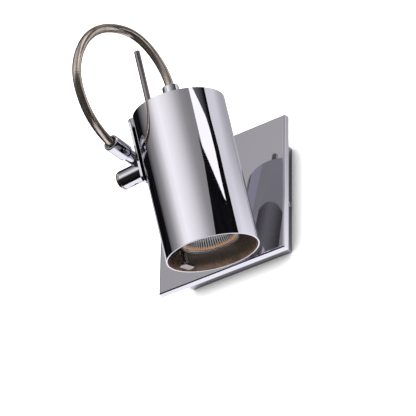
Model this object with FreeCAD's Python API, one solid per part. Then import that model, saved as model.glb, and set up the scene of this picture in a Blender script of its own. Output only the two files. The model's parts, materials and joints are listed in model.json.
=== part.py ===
"""Pivoting spotlight wall light, in millimetres.

+Z is up and -Y points out of the wall. The origin is the centre of the wall plate, on the wall's surface.
The arm swivels about its own axis in the plate, the head tilts on the knuckle beside it,
and a rod that slides through the head's cap carries the lamp. The solids are exported in the pose
that the swivel and tilt values below give.
"""
import FreeCAD, Part

import math
import os

V = FreeCAD.Vector
X_AXIS = V(1, 0, 0)
Y_AXIS = V(0, 1, 0)
Z_AXIS = V(0, 0, 1)

# ---------------------------------------------------------------- clearances
running_gap = 0.05          # radial, between a turning or sliding pin and its bore
face_gap = 0.10             # between faces that turn on each other
fit_gap = 0.10              # radial, between a fixed piece and the hole it sits in
press_gap = 0.05            # radial, between the cap and the tube
tube_gap = 0.15             # between the flat bracket and the round tube
tip_gap = 0.10              # from a screw's tip to what it presses on
screw_sink = 0.7            # from a headless screw's outer end to the surface round it

# ---------------------------------------------------------------- pose of the moving parts
swivel_angle = 4.32         # arm about its own axis, head's mouth towards +X
tilt_angle = 16.55          # head about the knuckle, mouth towards the wall

# ---------------------------------------------------------------- cover plate and wall box
plate_side = 140.0
plate_depth = 6.6
plate_wall = 1.6
plate_chamfer = 1.0
box_side = 110.0
box_depth = 25.4
box_wall = 1.2
box_flange = 8.0

# ---------------------------------------------------------------- wall bracket inside the box
crossbar_width = 24.0
crossbar_thickness = 1.5
crossbar_lip = 11.0
wall_slot_spacing = 60.0
wall_slot_length = 12.0
wall_slot_width = 4.6
cable_hole_radius = 6.0
grommet_lip = 2.0
grommet_lip_thickness = 1.6
grommet_bore = 4.0
side_screw_y = -4.5
side_screw_z = -7.0
side_screw_length = 5.0
block_length = 30.0
block_height = 14.0
block_depth = 13.0
block_x = 26.0
block_poles = 3
block_groove = 1.2          # between two poles
block_groove_depth = 4.0
block_bore_radius = 1.9
block_bore_inset = 5.0      # from the block's front
earth_screw_x = -16.0

# ---------------------------------------------------------------- arm
arm_x = -34.3
arm_z = 17.4
arm_radius = 5.75
arm_wall = 1.0
arm_tail = 17.0             # from the wall to the arm's inner end
rosette_radius = 12.0
rosette_thickness = 3.0
bearing_wall = 2.2
bearing_inner_end = 22.0    # from the wall
bearing_nut_height = 4.0
nut_wall = 2.5              # from a nut's thread to its flats
collar_radius = 9.0
collar_length = 5.0
locknut_height = 3.5
stop_washer_thickness = 1.2
stop_tab_width = 3.0
stop_pin_radius = 1.5
rim_chamfer = 0.8

# ---------------------------------------------------------------- conduit and its ferrules
conduit_radius = 4.05
ferrule_radius = 7.6
ferrule_length = 22.0
ferrule_mouth_radius = 5.8
ferrule_mouth_depth = 5.0
ferrule_wire_radius = 2.8
ferrule_chamfer = 0.8
arm_ferrule_mouth_y = -148.9
arm_ferrule_overlap = 10.0
ferrule_screw_depth = 10.0  # from the mouth
ferrule_screw_angle = -49.0
arm_conduit_lead = 14.0     # straight stretch out of the arm ferrule's seat
cap_conduit_lead = 20.0

# Route between the two straight leads, chosen by hand, in the wall's frame.
conduit_points = [
    V(-31.0, -190.0, 31.0),
    V(-27.0, -210.0, 59.0),
    V(-19.5, -207.0, 91.5),
    V(-14.0, -184.5, 114.5),
    V(-2.0, -154.0, 117.5),
]

# ---------------------------------------------------------------- knuckle
knuckle_radius = 9.0
knuckle_length = 27.0
knuckle_cap_length = 3.9
knuckle_cap_fillet = 2.8
knuckle_drop = 8.0          # from the arm's axis down to the knuckle's axis
knuckle_y = -105.45
pin_radius = 2.0
pin_length = 24.0
washer_radius = 7.2
washer_thickness = 0.9
pin_screw_reach = 15.5      # from the knuckle's face to the screw that locks the pin
pin_screw_angle = 21.0      # from straight down towards the wall
end_screw_reach = 1.9       # from the barrel's end
end_screw_angle = 47.0
end_screw_depth = 6.0

# ---------------------------------------------------------------- head
head_radius = 41.75
head_wall = 1.4
head_length = 140.5
head_offset = 52.8          # from the arm's axis to the head's axis
pivot_depth = 39.4          # from the cap's top down to the tilt axis
cap_thickness = 3.0
cap_recess = 0.4
cap_vent_radius = 2.5
cap_vent_circle = 32.0
cap_vent_angles = (-55, -25, 5, 175, 205, 235)
cap_ferrule_x = -3.4
cap_ferrule_screw_angle = 60.0
cap_ferrule_washer = 1.2
cap_washer_reach = 0.8
cap_ferrule_neck_radius = 4.9
cap_ferrule_neck_length = 8.0
cap_nut_height = 3.0
cap_nut_wall = 1.8
bracket_rise = 6.5          # above the tube's top
bracket_length = 63.5
bracket_width = 33.6
bracket_thickness = 2.5
bracket_corner = 6.0
bracket_edge = 0.5
bracket_screw_depths = (10.0, 51.0)     # from the tube's top

# ---------------------------------------------------------------- rod and its guide
rod_radius = 2.75
rod_offset = 28.95
rod_above_cap = 69.9
rod_chamfer = 0.5
guide_radius = 4.6
guide_height = 6.0
guide_neck_radius = 4.0
guide_neck_length = 8.0
foot_length = 16.4
foot_width = 7.0
foot_thickness = 2.2
foot_reach = 10.5           # from the ring's front face down to the foot

# ---------------------------------------------------------------- lamp and its carrier
ring_radius = 26.1
ring_height = 8.0
ring_front = 129.5          # from the cap's top down to the ring's front face
ring_lip_radius = 23.6
ring_lip_thickness = 1.2
ring_edge = 0.8
hub_radius = 4.9
hub_inset = 1.0             # behind the ring's front face
clip_wire_radius = 0.7
clip_inset = 1.6
clip_groove_depth = 0.35
clip_gap_angle = 24.0
lamp_radius = 24.9
lamp_gap = 0.25
lamp_rim_height = 4.1
lamp_front_inset = 2.5
glass_thickness = 1.6
glass_sink = 0.2            # behind the rim's front
glass_ledge = 1.2
reflector_radius = 23.2     # just behind the rim
reflector_wall = 1.4
reflector_depth = 33.0
reflector_neck_radius = 9.0
burner_radius = 4.2
burner_length = 15.0
lamp_base_radius = 11.5
lamp_base_length = 14.0
lamp_base_chamfer = 1.0
lamp_pin_radius = 1.5
lamp_pin_head_radius = 2.4
lamp_pin_length = 7.0
lamp_pin_head = 2.2
lamp_pin_spacing = 10.0
pin_room = 0.3              # round and past a pin or screw in its hole
holder_radius = 15.0
holder_height = 18.0
bridge_thickness = 2.0
bridge_width = 12.0
bridge_hub_height = 8.0
bridge_wire_radius = 4.0
holder_screw_spacing = 22.0
holder_screw_depth = 5.0

# ---------------------------------------------------------------- screws
grub_radius = 2.0
small_screw_radius = 1.5
small_head_radius = 2.75
small_head_height = 1.6
bracket_screw_radius = 2.0
bracket_screw_head_radius = 3.9
bracket_screw_socket = 2.5  # across flats
bracket_screw_end = 1.0     # past its nut
bracket_nut_flats = 7.0
bracket_nut_height = 2.4

# ---------------------------------------------------------------- derived places
plate_front = -(box_depth + plate_depth)
plate_inside = plate_front + plate_wall
bearing_neck_radius = arm_radius + running_gap + bearing_wall
bearing_nut_corner = (bearing_neck_radius + nut_wall) * 2 / math.sqrt(3)
stop_pin_offset = bearing_nut_corner + fit_gap + stop_pin_radius
stop_tab_reach = stop_pin_offset + stop_pin_radius
stop_washer_radius = stop_pin_offset - stop_pin_radius - 4 * fit_gap
ferrule_seat_y = arm_ferrule_mouth_y + ferrule_mouth_depth
ferrule_back_y = arm_ferrule_mouth_y + ferrule_length
arm_front_y = ferrule_back_y - arm_ferrule_overlap
head_bore_radius = head_radius - head_wall
bracket_inner_x = -(head_radius + tube_gap)
bracket_outer_x = bracket_inner_x - bracket_thickness
knuckle_start = -bracket_outer_x + washer_thickness + face_gap  # from the head's axis
knuckle_end = knuckle_start + knuckle_length
cap_top = -cap_recess
cap_bottom = cap_top - cap_thickness
ferrule_base_z = cap_top + cap_ferrule_washer
ferrule_top_z = ferrule_base_z + ferrule_length
lamp_front_z = -(ring_front - lamp_front_inset)
lamp_neck_z = lamp_front_z + reflector_depth
base_top_z = lamp_neck_z + lamp_base_length
holder_bottom_z = base_top_z + face_gap
holder_top_z = holder_bottom_z + holder_height
bridge_top_z = holder_top_z + bridge_thickness
bridge_screw_z = (bridge_top_z + holder_top_z + bridge_hub_height) / 2
ring_screw_z = -ring_front + (ring_height + hub_inset) / 2
clip_groove_radius = lamp_radius + lamp_gap + clip_groove_depth
foot_depth = ring_front + foot_reach


# ---------------------------------------------------------------- plain shapes
def cylinder(radius, start, end, centre=(0, 0), along="z"):
    """A cylinder along x, y or z between two places; centre holds the other two coordinates."""
    a, b = centre
    low = min(start, end)
    base = {"x": V(low, a, b), "y": V(a, low, b), "z": V(a, b, low)}[along]
    axis = {"x": X_AXIS, "y": Y_AXIS, "z": Z_AXIS}[along]
    return Part.makeCylinder(radius, abs(end - start), base, axis)


def box(low, high):
    return Part.makeBox(high[0] - low[0], high[1] - low[1], high[2] - low[2], V(*low))


def hexagon(across_flats, start, end, centre=(0, 0), along="z"):
    """A hexagonal prism along x, y or z."""
    corner = across_flats / math.sqrt(3)
    points = []
    for i in range(7):
        angle = math.radians(60 * i)
        u, v = corner * math.cos(angle) + centre[0], corner * math.sin(angle) + centre[1]
        points.append({"x": V(start, u, v), "y": V(u, start, v), "z": V(u, v, start)}[along])
    axis = {"x": X_AXIS, "y": Y_AXIS, "z": Z_AXIS}[along]
    return Part.Face(Part.makePolygon(points)).extrude(axis * (end - start))


def turned(points):
    """A solid of revolution about Z through (radius, z) points in order round its half section."""
    outline = Part.makePolygon([V(r, 0, z) for r, z in points] + [V(points[0][0], 0, points[0][1])])
    return Part.Face(outline).revolve(V(0, 0, 0), Z_AXIS, 360)


def edges_where(shape, test):
    return [edge for edge in shape.Edges if all(test(vertex.Point) for vertex in edge.Vertexes)]


def grub_screw(length, tip, direction, radius=grub_radius):
    """A headless socket screw whose tip is at tip and whose socket end lies along direction."""
    screw = cylinder(radius, 0, length)
    screw = screw.cut(hexagon(radius, length - 0.8 * radius, length + 1))
    screw.Placement = FreeCAD.Placement(tip, FreeCAD.Rotation(Z_AXIS, direction))
    return screw


def pan_screw(length, seat, direction, radius=small_screw_radius):
    """A pan-head screw: its head stands on seat towards direction and its shank runs the other way."""
    head = cylinder(small_head_radius, 0, small_head_height)
    head = head.makeFillet(0.6, edges_where(head, lambda p: p.z > small_head_height - 0.01))
    screw = head.fuse(cylinder(radius, -length, 0))
    screw = screw.cut(box((-1.9, -0.35, 0.9), (1.9, 0.35, 3)))
    screw.Placement = FreeCAD.Placement(seat, FreeCAD.Rotation(Z_AXIS, direction))
    return screw


def drilled(shape, radius, start, direction, depth):
    """The shape with a round hole from start along direction."""
    return shape.cut(Part.makeCylinder(radius, depth, start, direction))


# ---------------------------------------------------------------- frames of the moving bodies
def on_arm(shape):
    """Arm frame, whose Y axis is the arm's axis, to the wall's frame."""
    placed = shape.copy()
    placed.rotate(V(0, 0, 0), Y_AXIS, -swivel_angle)
    placed.translate(V(arm_x, 0, arm_z))
    return placed


def on_head(shape):
    """Head frame, with the cap's centre at its origin and the axis along Z, to the wall's frame."""
    placed = shape.copy()
    placed.translate(V(0, 0, pivot_depth))
    placed.rotate(V(0, 0, 0), X_AXIS, tilt_angle)
    placed.translate(V(head_offset, knuckle_y, -knuckle_drop))
    return on_arm(placed)


def point_on_arm(point):
    return on_arm(Part.Vertex(point)).Vertexes[0].Point


def point_on_head(point):
    return on_head(Part.Vertex(point)).Vertexes[0].Point


# ---------------------------------------------------------------- cover plate, box and wall bracket
def cover_plate():
    half = plate_side / 2
    back = -box_depth
    plate = box((-half, plate_front, -half), (half, back, half))
    front_edges = edges_where(plate, lambda p: p.y < plate_front + 0.01)
    plate = plate.makeChamfer(plate_chamfer, front_edges)
    inner = half - plate_wall
    plate = plate.cut(box((-inner, plate_inside, -inner), (inner, back + 1, inner)))
    return plate.cut(cylinder(bearing_neck_radius + fit_gap, plate_front - 1, back + 1, (arm_x, arm_z), "y"))


def cover_box():
    half = box_side / 2
    inner = half - box_wall
    skirt = box((-half, plate_inside, -half), (half, 0, half))
    skirt = skirt.cut(box((-inner, plate_inside + box_wall, -inner), (inner, 1, inner)))
    opening = half - box_flange
    skirt = skirt.cut(box((-opening, plate_inside - 1, -opening), (opening, 1, opening)))
    nut_room = (bearing_nut_corner + fit_gap, plate_inside - 1, -bearing_inner_end)
    skirt = skirt.cut(cylinder(*nut_room, (arm_x, arm_z), "y"))
    for side in (-1, 1):
        start = V(side * (inner - 1), side_screw_y, side_screw_z)
        skirt = drilled(skirt, small_screw_radius + fit_gap, start, X_AXIS * side, box_wall + 2)
    return skirt


def crossbar():
    reach = box_side / 2 - box_wall - fit_gap
    half = crossbar_width / 2
    t = crossbar_thickness
    bar = box((-reach, -t, -half), (reach, 0, half))
    for side in (-1, 1):
        lip_inner = side * (reach - t)
        lip_outer = side * reach
        low, high = min(lip_inner, lip_outer), max(lip_inner, lip_outer)
        bar = bar.fuse(box((low, -crossbar_lip, -half), (high, -t, half)))
        start = V(side * (reach - t - 1), side_screw_y, side_screw_z)
        bar = drilled(bar, small_screw_radius, start, X_AXIS * side, t + 2)
        bar = bar.cut(wall_slot(side * wall_slot_spacing / 2))
    bar = bar.cut(cylinder(cable_hole_radius, -t - 1, 1, along="y"))
    bar = bar.cut(cylinder(small_screw_radius, -t - 1, 1, (block_x, 0), "y"))
    bar = bar.cut(cylinder(small_screw_radius, -t - 1, 1, (earth_screw_x, 0), "y"))
    return bar.removeSplitter()


def wall_slot(centre_x):
    """The space of one slot for a wall screw, along X."""
    radius = wall_slot_width / 2
    half = wall_slot_length / 2 - radius
    front = -crossbar_thickness - 1
    slot = box((centre_x - half, front, -radius), (centre_x + half, 1, radius))
    for side in (-1, 1):
        slot = slot.fuse(cylinder(radius, front, 1, (centre_x + side * half, 0), "y"))
    return slot


def grommet():
    """The rubber ring in the bracket's cable hole."""
    lip_front = -crossbar_thickness - grommet_lip_thickness
    body = cylinder(cable_hole_radius, -crossbar_thickness, 0, along="y")
    lip = cylinder(cable_hole_radius + grommet_lip, lip_front, -crossbar_thickness, along="y")
    ring = body.fuse(lip).removeSplitter()
    return ring.cut(cylinder(grommet_bore, lip_front - 1, 1, along="y"))


def terminal_block():
    """A block with a through bore for each pole and a clamping screw hole above it."""
    front = -crossbar_thickness - block_depth
    bore_y = front + block_bore_inset
    left = block_x - block_length / 2
    half_height = block_height / 2
    pitch = block_length / block_poles
    block = box((left, front, -half_height), (left + block_length, -crossbar_thickness, half_height))
    groove_end = front + block_groove_depth
    for i in range(block_poles + 1):
        low = left + pitch * i - block_groove / 2
        high = low + block_groove
        block = block.cut(box((low, front - 1, -half_height - 1), (high, groove_end, half_height + 1)))
    for i in range(block_poles):
        x = left + pitch * (i + 0.5)
        block = block.cut(cylinder(block_bore_radius, -half_height - 1, half_height + 1, (x, bore_y)))
        block = block.cut(cylinder(block_bore_radius, front - 1, bore_y, (x, 0), "y"))
    return block


def earth_screw():
    return pan_screw(crossbar_thickness, V(earth_screw_x, -crossbar_thickness, 0), -Y_AXIS)


def side_screw(side):
    seat = V(side * box_side / 2, side_screw_y, side_screw_z)
    return pan_screw(side_screw_length, seat, X_AXIS * side)


def bearing():
    """The bush that the arm turns in: a rosette in front of the plate and a neck through it."""
    centre = (arm_x, arm_z)
    rosette_front = plate_front - rosette_thickness
    flange = cylinder(rosette_radius, rosette_front, plate_front, centre, "y")
    flange = flange.makeChamfer(rim_chamfer, edges_where(flange, lambda p: p.y < rosette_front + 0.01))
    bush = flange.fuse(cylinder(bearing_neck_radius, plate_front, -bearing_inner_end, centre, "y"))
    bush = bush.removeSplitter()
    return bush.cut(cylinder(arm_radius + running_gap, rosette_front - 1, 0, centre, "y"))


def bearing_nut():
    centre = (arm_x, arm_z)
    flats = 2 * (bearing_neck_radius + nut_wall)
    nut = hexagon(flats, plate_inside, plate_inside + bearing_nut_height, centre, "y")
    return nut.cut(cylinder(bearing_neck_radius, plate_inside - 1, 0, centre, "y"))


def stop_pin():
    """Stops the arm after most of a turn, where the washer's tab meets it."""
    centre = (arm_x, arm_z + stop_pin_offset)
    return cylinder(stop_pin_radius, plate_inside, -arm_tail, centre, "y")


# ---------------------------------------------------------------- arm, in the arm's frame
def arm_tube():
    tube = cylinder(arm_radius, arm_front_y, -arm_tail, along="y")
    return tube.cut(cylinder(arm_radius - arm_wall, arm_front_y - 1, 0, along="y"))


def arm_collar():
    """Shoulder in front of the rosette."""
    back = plate_front - rosette_thickness - face_gap
    collar = cylinder(collar_radius, back - collar_length, back, along="y")
    rims = edges_where(collar, lambda p: p.y < back - collar_length + 0.01)
    collar = collar.makeChamfer(rim_chamfer, rims)
    return collar.cut(cylinder(arm_radius, back - collar_length - 1, 0, along="y"))


def stop_washer():
    front = -bearing_inner_end + face_gap
    back = front + stop_washer_thickness
    washer = cylinder(stop_washer_radius, front, back, along="y")
    half = stop_tab_width / 2
    washer = washer.fuse(box((-half, front, -stop_tab_reach), (half, back, 0))).removeSplitter()
    return washer.cut(cylinder(arm_radius, front - 1, back + 1, along="y"))


def arm_locknut():
    front = -bearing_inner_end + face_gap + stop_washer_thickness
    nut = hexagon(2 * (arm_radius + nut_wall), front, front + locknut_height, along="y")
    return nut.cut(cylinder(arm_radius, front - 1, 0, along="y"))


def ferrule(neck_radius, neck_length, bore_radius, bore_depth):
    """A conduit socket along Z with its mouth up: a stepped bore, a grub screw hole and a neck below."""
    body = cylinder(ferrule_radius, 0, ferrule_length)
    body = body.makeChamfer(ferrule_chamfer, [edge for edge in body.Edges if edge.Closed])
    if neck_length > 0:
        body = body.fuse(cylinder(neck_radius, -neck_length, 0.5)).removeSplitter()
    body = body.cut(cylinder(ferrule_mouth_radius, ferrule_length - ferrule_mouth_depth, ferrule_length + 1))
    body = body.cut(cylinder(ferrule_wire_radius, -neck_length - 1, ferrule_length + 1))
    return body.cut(cylinder(bore_radius, -1, bore_depth)) if bore_depth > 0 else body


def arm_ferrule():
    body = ferrule(0, 0, arm_radius, arm_ferrule_overlap)
    body.rotate(V(0, 0, 0), X_AXIS, 90)
    body.translate(V(0, ferrule_back_y, 0))
    tip, direction = ferrule_grub_line()
    return drilled(body, grub_radius, tip, direction, ferrule_radius)


def ferrule_grub_line():
    """Where the arm ferrule's grub screw sits: its tip beside the wire bore, and its way out."""
    angle = math.radians(ferrule_screw_angle)
    direction = V(math.cos(angle), 0, math.sin(angle))
    middle = V(0, arm_ferrule_mouth_y + ferrule_screw_depth, 0)
    return middle + direction * (ferrule_wire_radius + tip_gap), direction


def ferrule_screw_length():
    return ferrule_radius - ferrule_wire_radius - tip_gap - screw_sink


def arm_ferrule_grub():
    tip, direction = ferrule_grub_line()
    return grub_screw(ferrule_screw_length(), tip, direction)


def knuckle():
    """The turned barrel under the arm: a saddle for the arm and a bore for the tilt pin."""
    start = head_offset - knuckle_start
    end = head_offset - knuckle_end
    centre = (knuckle_y, -knuckle_drop)
    barrel = cylinder(knuckle_radius, start, end, centre, "x")
    barrel = barrel.makeChamfer(0.5, edges_where(barrel, lambda p: p.x > start - 0.01))
    saddle_ends = (knuckle_y - knuckle_radius - 1, knuckle_y + knuckle_radius + 1)
    barrel = barrel.cut(cylinder(arm_radius, *saddle_ends, along="y"))
    pin_depth = pin_length - washer_thickness - bracket_thickness + 1
    barrel = barrel.cut(cylinder(pin_radius + running_gap, start + 1, start - pin_depth, centre, "x"))
    tip, direction = knuckle_grub_line()
    barrel = drilled(barrel, grub_radius, tip, direction, knuckle_radius)
    tip, direction = end_grub_line()
    return drilled(barrel, small_screw_radius, tip, direction, knuckle_radius)


def knuckle_cap():
    """The rounded end ring of the barrel."""
    start = head_offset - knuckle_end
    end = start - knuckle_cap_length
    centre = (knuckle_y, -knuckle_drop)
    cap = cylinder(knuckle_radius, start, end, centre, "x")
    return cap.makeFillet(knuckle_cap_fillet, edges_where(cap, lambda p: p.x < end + 0.01))


def barrel_screw_direction(angle):
    """Out of the barrel, angle degrees from straight down towards the wall."""
    return V(0, math.sin(math.radians(angle)), -math.cos(math.radians(angle)))


def knuckle_grub_line():
    """The screw that locks the tilt pin, from below."""
    direction = barrel_screw_direction(pin_screw_angle)
    middle = V(head_offset - knuckle_start - pin_screw_reach, knuckle_y, -knuckle_drop)
    return middle + direction * (pin_radius + tip_gap), direction


def end_grub_line():
    """The small screw beside the barrel's end, turned further towards the wall."""
    direction = barrel_screw_direction(end_screw_angle)
    middle = V(head_offset - knuckle_end + end_screw_reach, knuckle_y, -knuckle_drop)
    return middle + direction * (knuckle_radius - end_screw_depth), direction


def knuckle_grub():
    tip, direction = knuckle_grub_line()
    return grub_screw(knuckle_radius - pin_radius - tip_gap - screw_sink, tip, direction)


def end_grub():
    tip, direction = end_grub_line()
    return grub_screw(end_screw_depth - screw_sink, tip, direction, small_screw_radius)


# ---------------------------------------------------------------- conduit
def conduit_route():
    """The route's points from the arm ferrule's seat to the cap ferrule's seat, in the wall's frame."""
    start = point_on_arm(V(0, ferrule_seat_y, 0))
    after_start = point_on_arm(V(0, ferrule_seat_y - arm_conduit_lead, 0))
    seat_z = ferrule_top_z - ferrule_mouth_depth
    end = point_on_head(V(cap_ferrule_x, 0, seat_z))
    before_end = point_on_head(V(cap_ferrule_x, 0, seat_z + cap_conduit_lead))
    return [start, after_start] + conduit_points + [before_end, end]


def conduit():
    """A tube along the route: straight runs joined by the largest tangent arcs that the runs allow."""
    route = conduit_route()
    edges = []
    radii = []
    at = route[0]
    for before, corner, after in zip(route, route[1:], route[2:]):
        into = corner - before
        out = after - corner
        half_turn = into.getAngle(out) / 2
        cut = 0.45 * min(into.Length, out.Length)
        radius = cut / math.tan(half_turn)
        into.normalize()
        out.normalize()
        to_centre = out - into
        to_centre.normalize()
        arc_start = corner - into * cut
        arc_middle = corner + to_centre * (radius / math.cos(half_turn) - radius)
        arc_end = corner + out * cut
        edges.append(Part.LineSegment(at, arc_start).toShape())
        edges.append(Part.Arc(arc_start, arc_middle, arc_end).toShape())
        radii.append(radius)
        at = arc_end
    edges.append(Part.LineSegment(at, route[-1]).toShape())
    path = Part.Wire(edges)
    section = Part.Wire(Part.makeCircle(conduit_radius, route[0], route[1] - route[0]))
    tube = path.makePipeShell([section], True, False)
    expected = math.pi * conduit_radius ** 2 * path.Length
    print("conduit radii", [round(r, 1) for r in radii], "length", round(path.Length, 1),
          "volume / (section x length)", round(tube.Volume / expected, 4))
    print("conduit route, m", [[round(c / 1000, 5) for c in point] for point in route])
    return tube


# ---------------------------------------------------------------- head, in the head's frame
def head_tube():
    tube = cylinder(head_radius, 0, -head_length)
    tube = tube.cut(cylinder(head_bore_radius, 1, -head_length - 1))
    for depth in bracket_screw_depths:
        tube = tube.cut(cylinder(bracket_screw_radius, -head_radius - 5, -head_radius + 5, (0, -depth), "x"))
    return tube


def head_cap():
    cap = cylinder(head_bore_radius - press_gap, cap_top, cap_bottom)
    cap = cap.cut(cylinder(cap_ferrule_neck_radius, 1, cap_bottom - 1, (cap_ferrule_x, 0)))
    cap = cap.cut(cylinder(guide_neck_radius, 1, cap_bottom - 1, (-rod_offset, 0)))
    for angle in cap_vent_angles:
        x = cap_vent_circle * math.cos(math.radians(angle))
        y = cap_vent_circle * math.sin(math.radians(angle))
        cap = cap.cut(cylinder(cap_vent_radius, 1, cap_bottom - 1, (x, y)))
    return cap


def cap_ferrule():
    body = ferrule(cap_ferrule_neck_radius, cap_ferrule_neck_length, 0, 0)
    body.translate(V(cap_ferrule_x, 0, ferrule_base_z))
    tip, direction = cap_ferrule_grub_line()
    return drilled(body, grub_radius, tip, direction, ferrule_radius)


def cap_ferrule_grub_line():
    angle = math.radians(cap_ferrule_screw_angle)
    direction = V(math.cos(angle), math.sin(angle), 0)
    middle = V(cap_ferrule_x, 0, ferrule_top_z - ferrule_screw_depth)
    return middle + direction * (ferrule_wire_radius + tip_gap), direction


def cap_ferrule_grub():
    tip, direction = cap_ferrule_grub_line()
    return grub_screw(ferrule_screw_length(), tip, direction)


def cap_ferrule_base():
    """The washer between the ferrule and the cap."""
    ring = cylinder(ferrule_radius + cap_washer_reach, cap_top, ferrule_base_z, (cap_ferrule_x, 0))
    return ring.cut(cylinder(cap_ferrule_neck_radius, cap_top - 1, ferrule_base_z + 1, (cap_ferrule_x, 0)))


def cap_nut(neck_radius, x):
    """A nut under the cap on a threaded neck."""
    nut = hexagon(2 * (neck_radius + cap_nut_wall), cap_bottom - cap_nut_height, cap_bottom, (x, 0))
    return nut.cut(cylinder(neck_radius, cap_bottom - cap_nut_height - 1, cap_bottom + 1, (x, 0)))


def bracket_plate():
    half = bracket_width / 2
    bottom = bracket_rise - bracket_length
    plate = box((bracket_outer_x, -half, bottom), (bracket_inner_x, half, bracket_rise))
    corners = [e for e in plate.Edges if abs(e.Vertexes[0].Point.x - e.Vertexes[1].Point.x) > 1]
    plate = plate.makeFillet(bracket_corner, corners)
    plate = plate.makeFillet(bracket_edge, edges_where(plate, lambda p: p.x < bracket_outer_x + 0.01))
    hole = (bracket_outer_x - 1, bracket_inner_x + 1)
    plate = plate.cut(cylinder(pin_radius, *hole, (0, -pivot_depth), "x"))
    for depth in bracket_screw_depths:
        plate = plate.cut(cylinder(bracket_screw_radius, *hole, (0, -depth), "x"))
        plate = plate.cut(bracket_screw_head(depth))
    return plate


def bracket_screw_head(depth):
    """The countersunk head, its flat end on the plate's outer face."""
    height = bracket_screw_head_radius - bracket_screw_radius
    base = V(bracket_outer_x, 0, -depth)
    return Part.makeCone(bracket_screw_head_radius, bracket_screw_radius, height, base, X_AXIS)


def bracket_screw(depth):
    end = -head_bore_radius + bracket_nut_height + bracket_screw_end
    shank = cylinder(bracket_screw_radius, bracket_outer_x + 1, end, (0, -depth), "x")
    socket_end = bracket_outer_x + bracket_screw_head_radius - bracket_screw_radius
    socket = hexagon(bracket_screw_socket, bracket_outer_x - 1, socket_end, (0, -depth), "x")
    return bracket_screw_head(depth).fuse(shank).cut(socket)


def bracket_nut(depth):
    start = -math.sqrt(head_bore_radius ** 2 - (bracket_nut_flats / 2) ** 2) + tube_gap
    end = start + bracket_nut_height
    nut = hexagon(bracket_nut_flats, start, end, (0, -depth), "x")
    return nut.cut(cylinder(bracket_screw_radius, start - 1, end + 1, (0, -depth), "x"))


def tilt_pin():
    return cylinder(pin_radius, bracket_inner_x, bracket_inner_x - pin_length, (0, -pivot_depth), "x")


def tilt_washer():
    end = bracket_outer_x - washer_thickness
    ring = cylinder(washer_radius, bracket_outer_x, end, (0, -pivot_depth), "x")
    return ring.cut(cylinder(pin_radius, end - 1, bracket_outer_x + 1, (0, -pivot_depth), "x"))


def rod_guide():
    """The bush that the rod slides in: a shoulder on the cap and a threaded neck through it."""
    centre = (-rod_offset, 0)
    top = cap_top + guide_height
    shoulder = cylinder(guide_radius, cap_top, top, centre)
    shoulder = shoulder.makeChamfer(rod_chamfer, edges_where(shoulder, lambda p: p.z > top - 0.01))
    bush = shoulder.fuse(cylinder(guide_neck_radius, cap_top, cap_top - guide_neck_length, centre))
    bore_start = cap_top - guide_neck_length - 1
    bush = bush.cut(cylinder(rod_radius + running_gap, bore_start, top + 1, centre))
    tip, direction = guide_grub_line()
    return drilled(bush, small_screw_radius, tip, direction, guide_radius)


def guide_grub_line():
    """The friction screw that presses on the rod, on the side away from the lamp's axis."""
    return V(-rod_offset - rod_radius - tip_gap, 0, cap_top + guide_height / 2), -X_AXIS


def guide_grub():
    tip, direction = guide_grub_line()
    return grub_screw(guide_radius - rod_radius - tip_gap, tip, direction, small_screw_radius)


# ---------------------------------------------------------------- rod and lamp, in the head's frame
def rod():
    centre = (-rod_offset, 0)
    bar = cylinder(rod_radius, rod_above_cap, -foot_depth - foot_thickness, centre)
    return bar.makeChamfer(rod_chamfer, edges_where(bar, lambda p: p.z > rod_above_cap - 0.01))


def rod_foot():
    """The small plate riveted to the rod's lower end."""
    half_width = foot_width / 2
    half_length = foot_length / 2
    bottom = -foot_depth - foot_thickness
    low = (-rod_offset - half_width, -half_length, bottom)
    high = (-rod_offset + half_width, half_length, -foot_depth)
    foot = box(low, high)
    upright = [e for e in foot.Edges if abs(e.Vertexes[0].Point.z - e.Vertexes[1].Point.z) > 1]
    foot = foot.makeFillet(half_width * 0.97, upright)
    return foot.cut(cylinder(rod_radius, bottom - 1, -foot_depth + 1, (-rod_offset, 0)))


def lamp_ring():
    """The ring round the lamp's rim, with a hub for the rod, a rear lip and a groove for the clip."""
    bottom = -ring_front
    top = bottom + ring_height
    ring = cylinder(ring_radius, bottom, top)
    ring = ring.makeFillet(ring_edge, edges_where(ring, lambda p: p.z < bottom + 0.01))
    hub_centre = (-rod_offset, 0)
    hub = cylinder(hub_radius, bottom + hub_inset, top, hub_centre)
    web = box((-rod_offset, -hub_radius, bottom + hub_inset), (-ring_lip_radius, hub_radius, top))
    ring = ring.fuse(hub).fuse(web).removeSplitter()
    ring = ring.cut(cylinder(ring_lip_radius, bottom - 1, top + 1))
    ring = ring.cut(cylinder(lamp_radius + lamp_gap, bottom - 1, top - ring_lip_thickness))
    groove_z = bottom + clip_inset
    half_groove = clip_wire_radius + fit_gap / 2
    ring = ring.cut(cylinder(clip_groove_radius, groove_z - half_groove, groove_z + half_groove))
    ring = ring.cut(cylinder(rod_radius, bottom - 1, top + 1, hub_centre))
    return drilled(ring, small_screw_radius, rod_surface(ring_screw_z), -X_AXIS, hub_radius)


def rod_surface(z):
    """The point on the rod's outer side at z, where a hub's screw presses."""
    return V(-rod_offset - rod_radius, 0, z)


def hub_grub(z):
    return grub_screw(hub_radius - rod_radius, rod_surface(z), -X_AXIS, small_screw_radius)


def lamp_clip():
    """The open spring wire ring that holds the lamp from the front."""
    major = clip_groove_radius - clip_wire_radius - fit_gap / 2
    wire = Part.makeTorus(major, clip_wire_radius, V(0, 0, 0), Z_AXIS, -180, 180, 360 - clip_gap_angle)
    wire.rotate(V(0, 0, 0), Z_AXIS, clip_gap_angle / 2)
    wire.translate(V(0, 0, -ring_front + clip_inset))
    return wire


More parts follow.
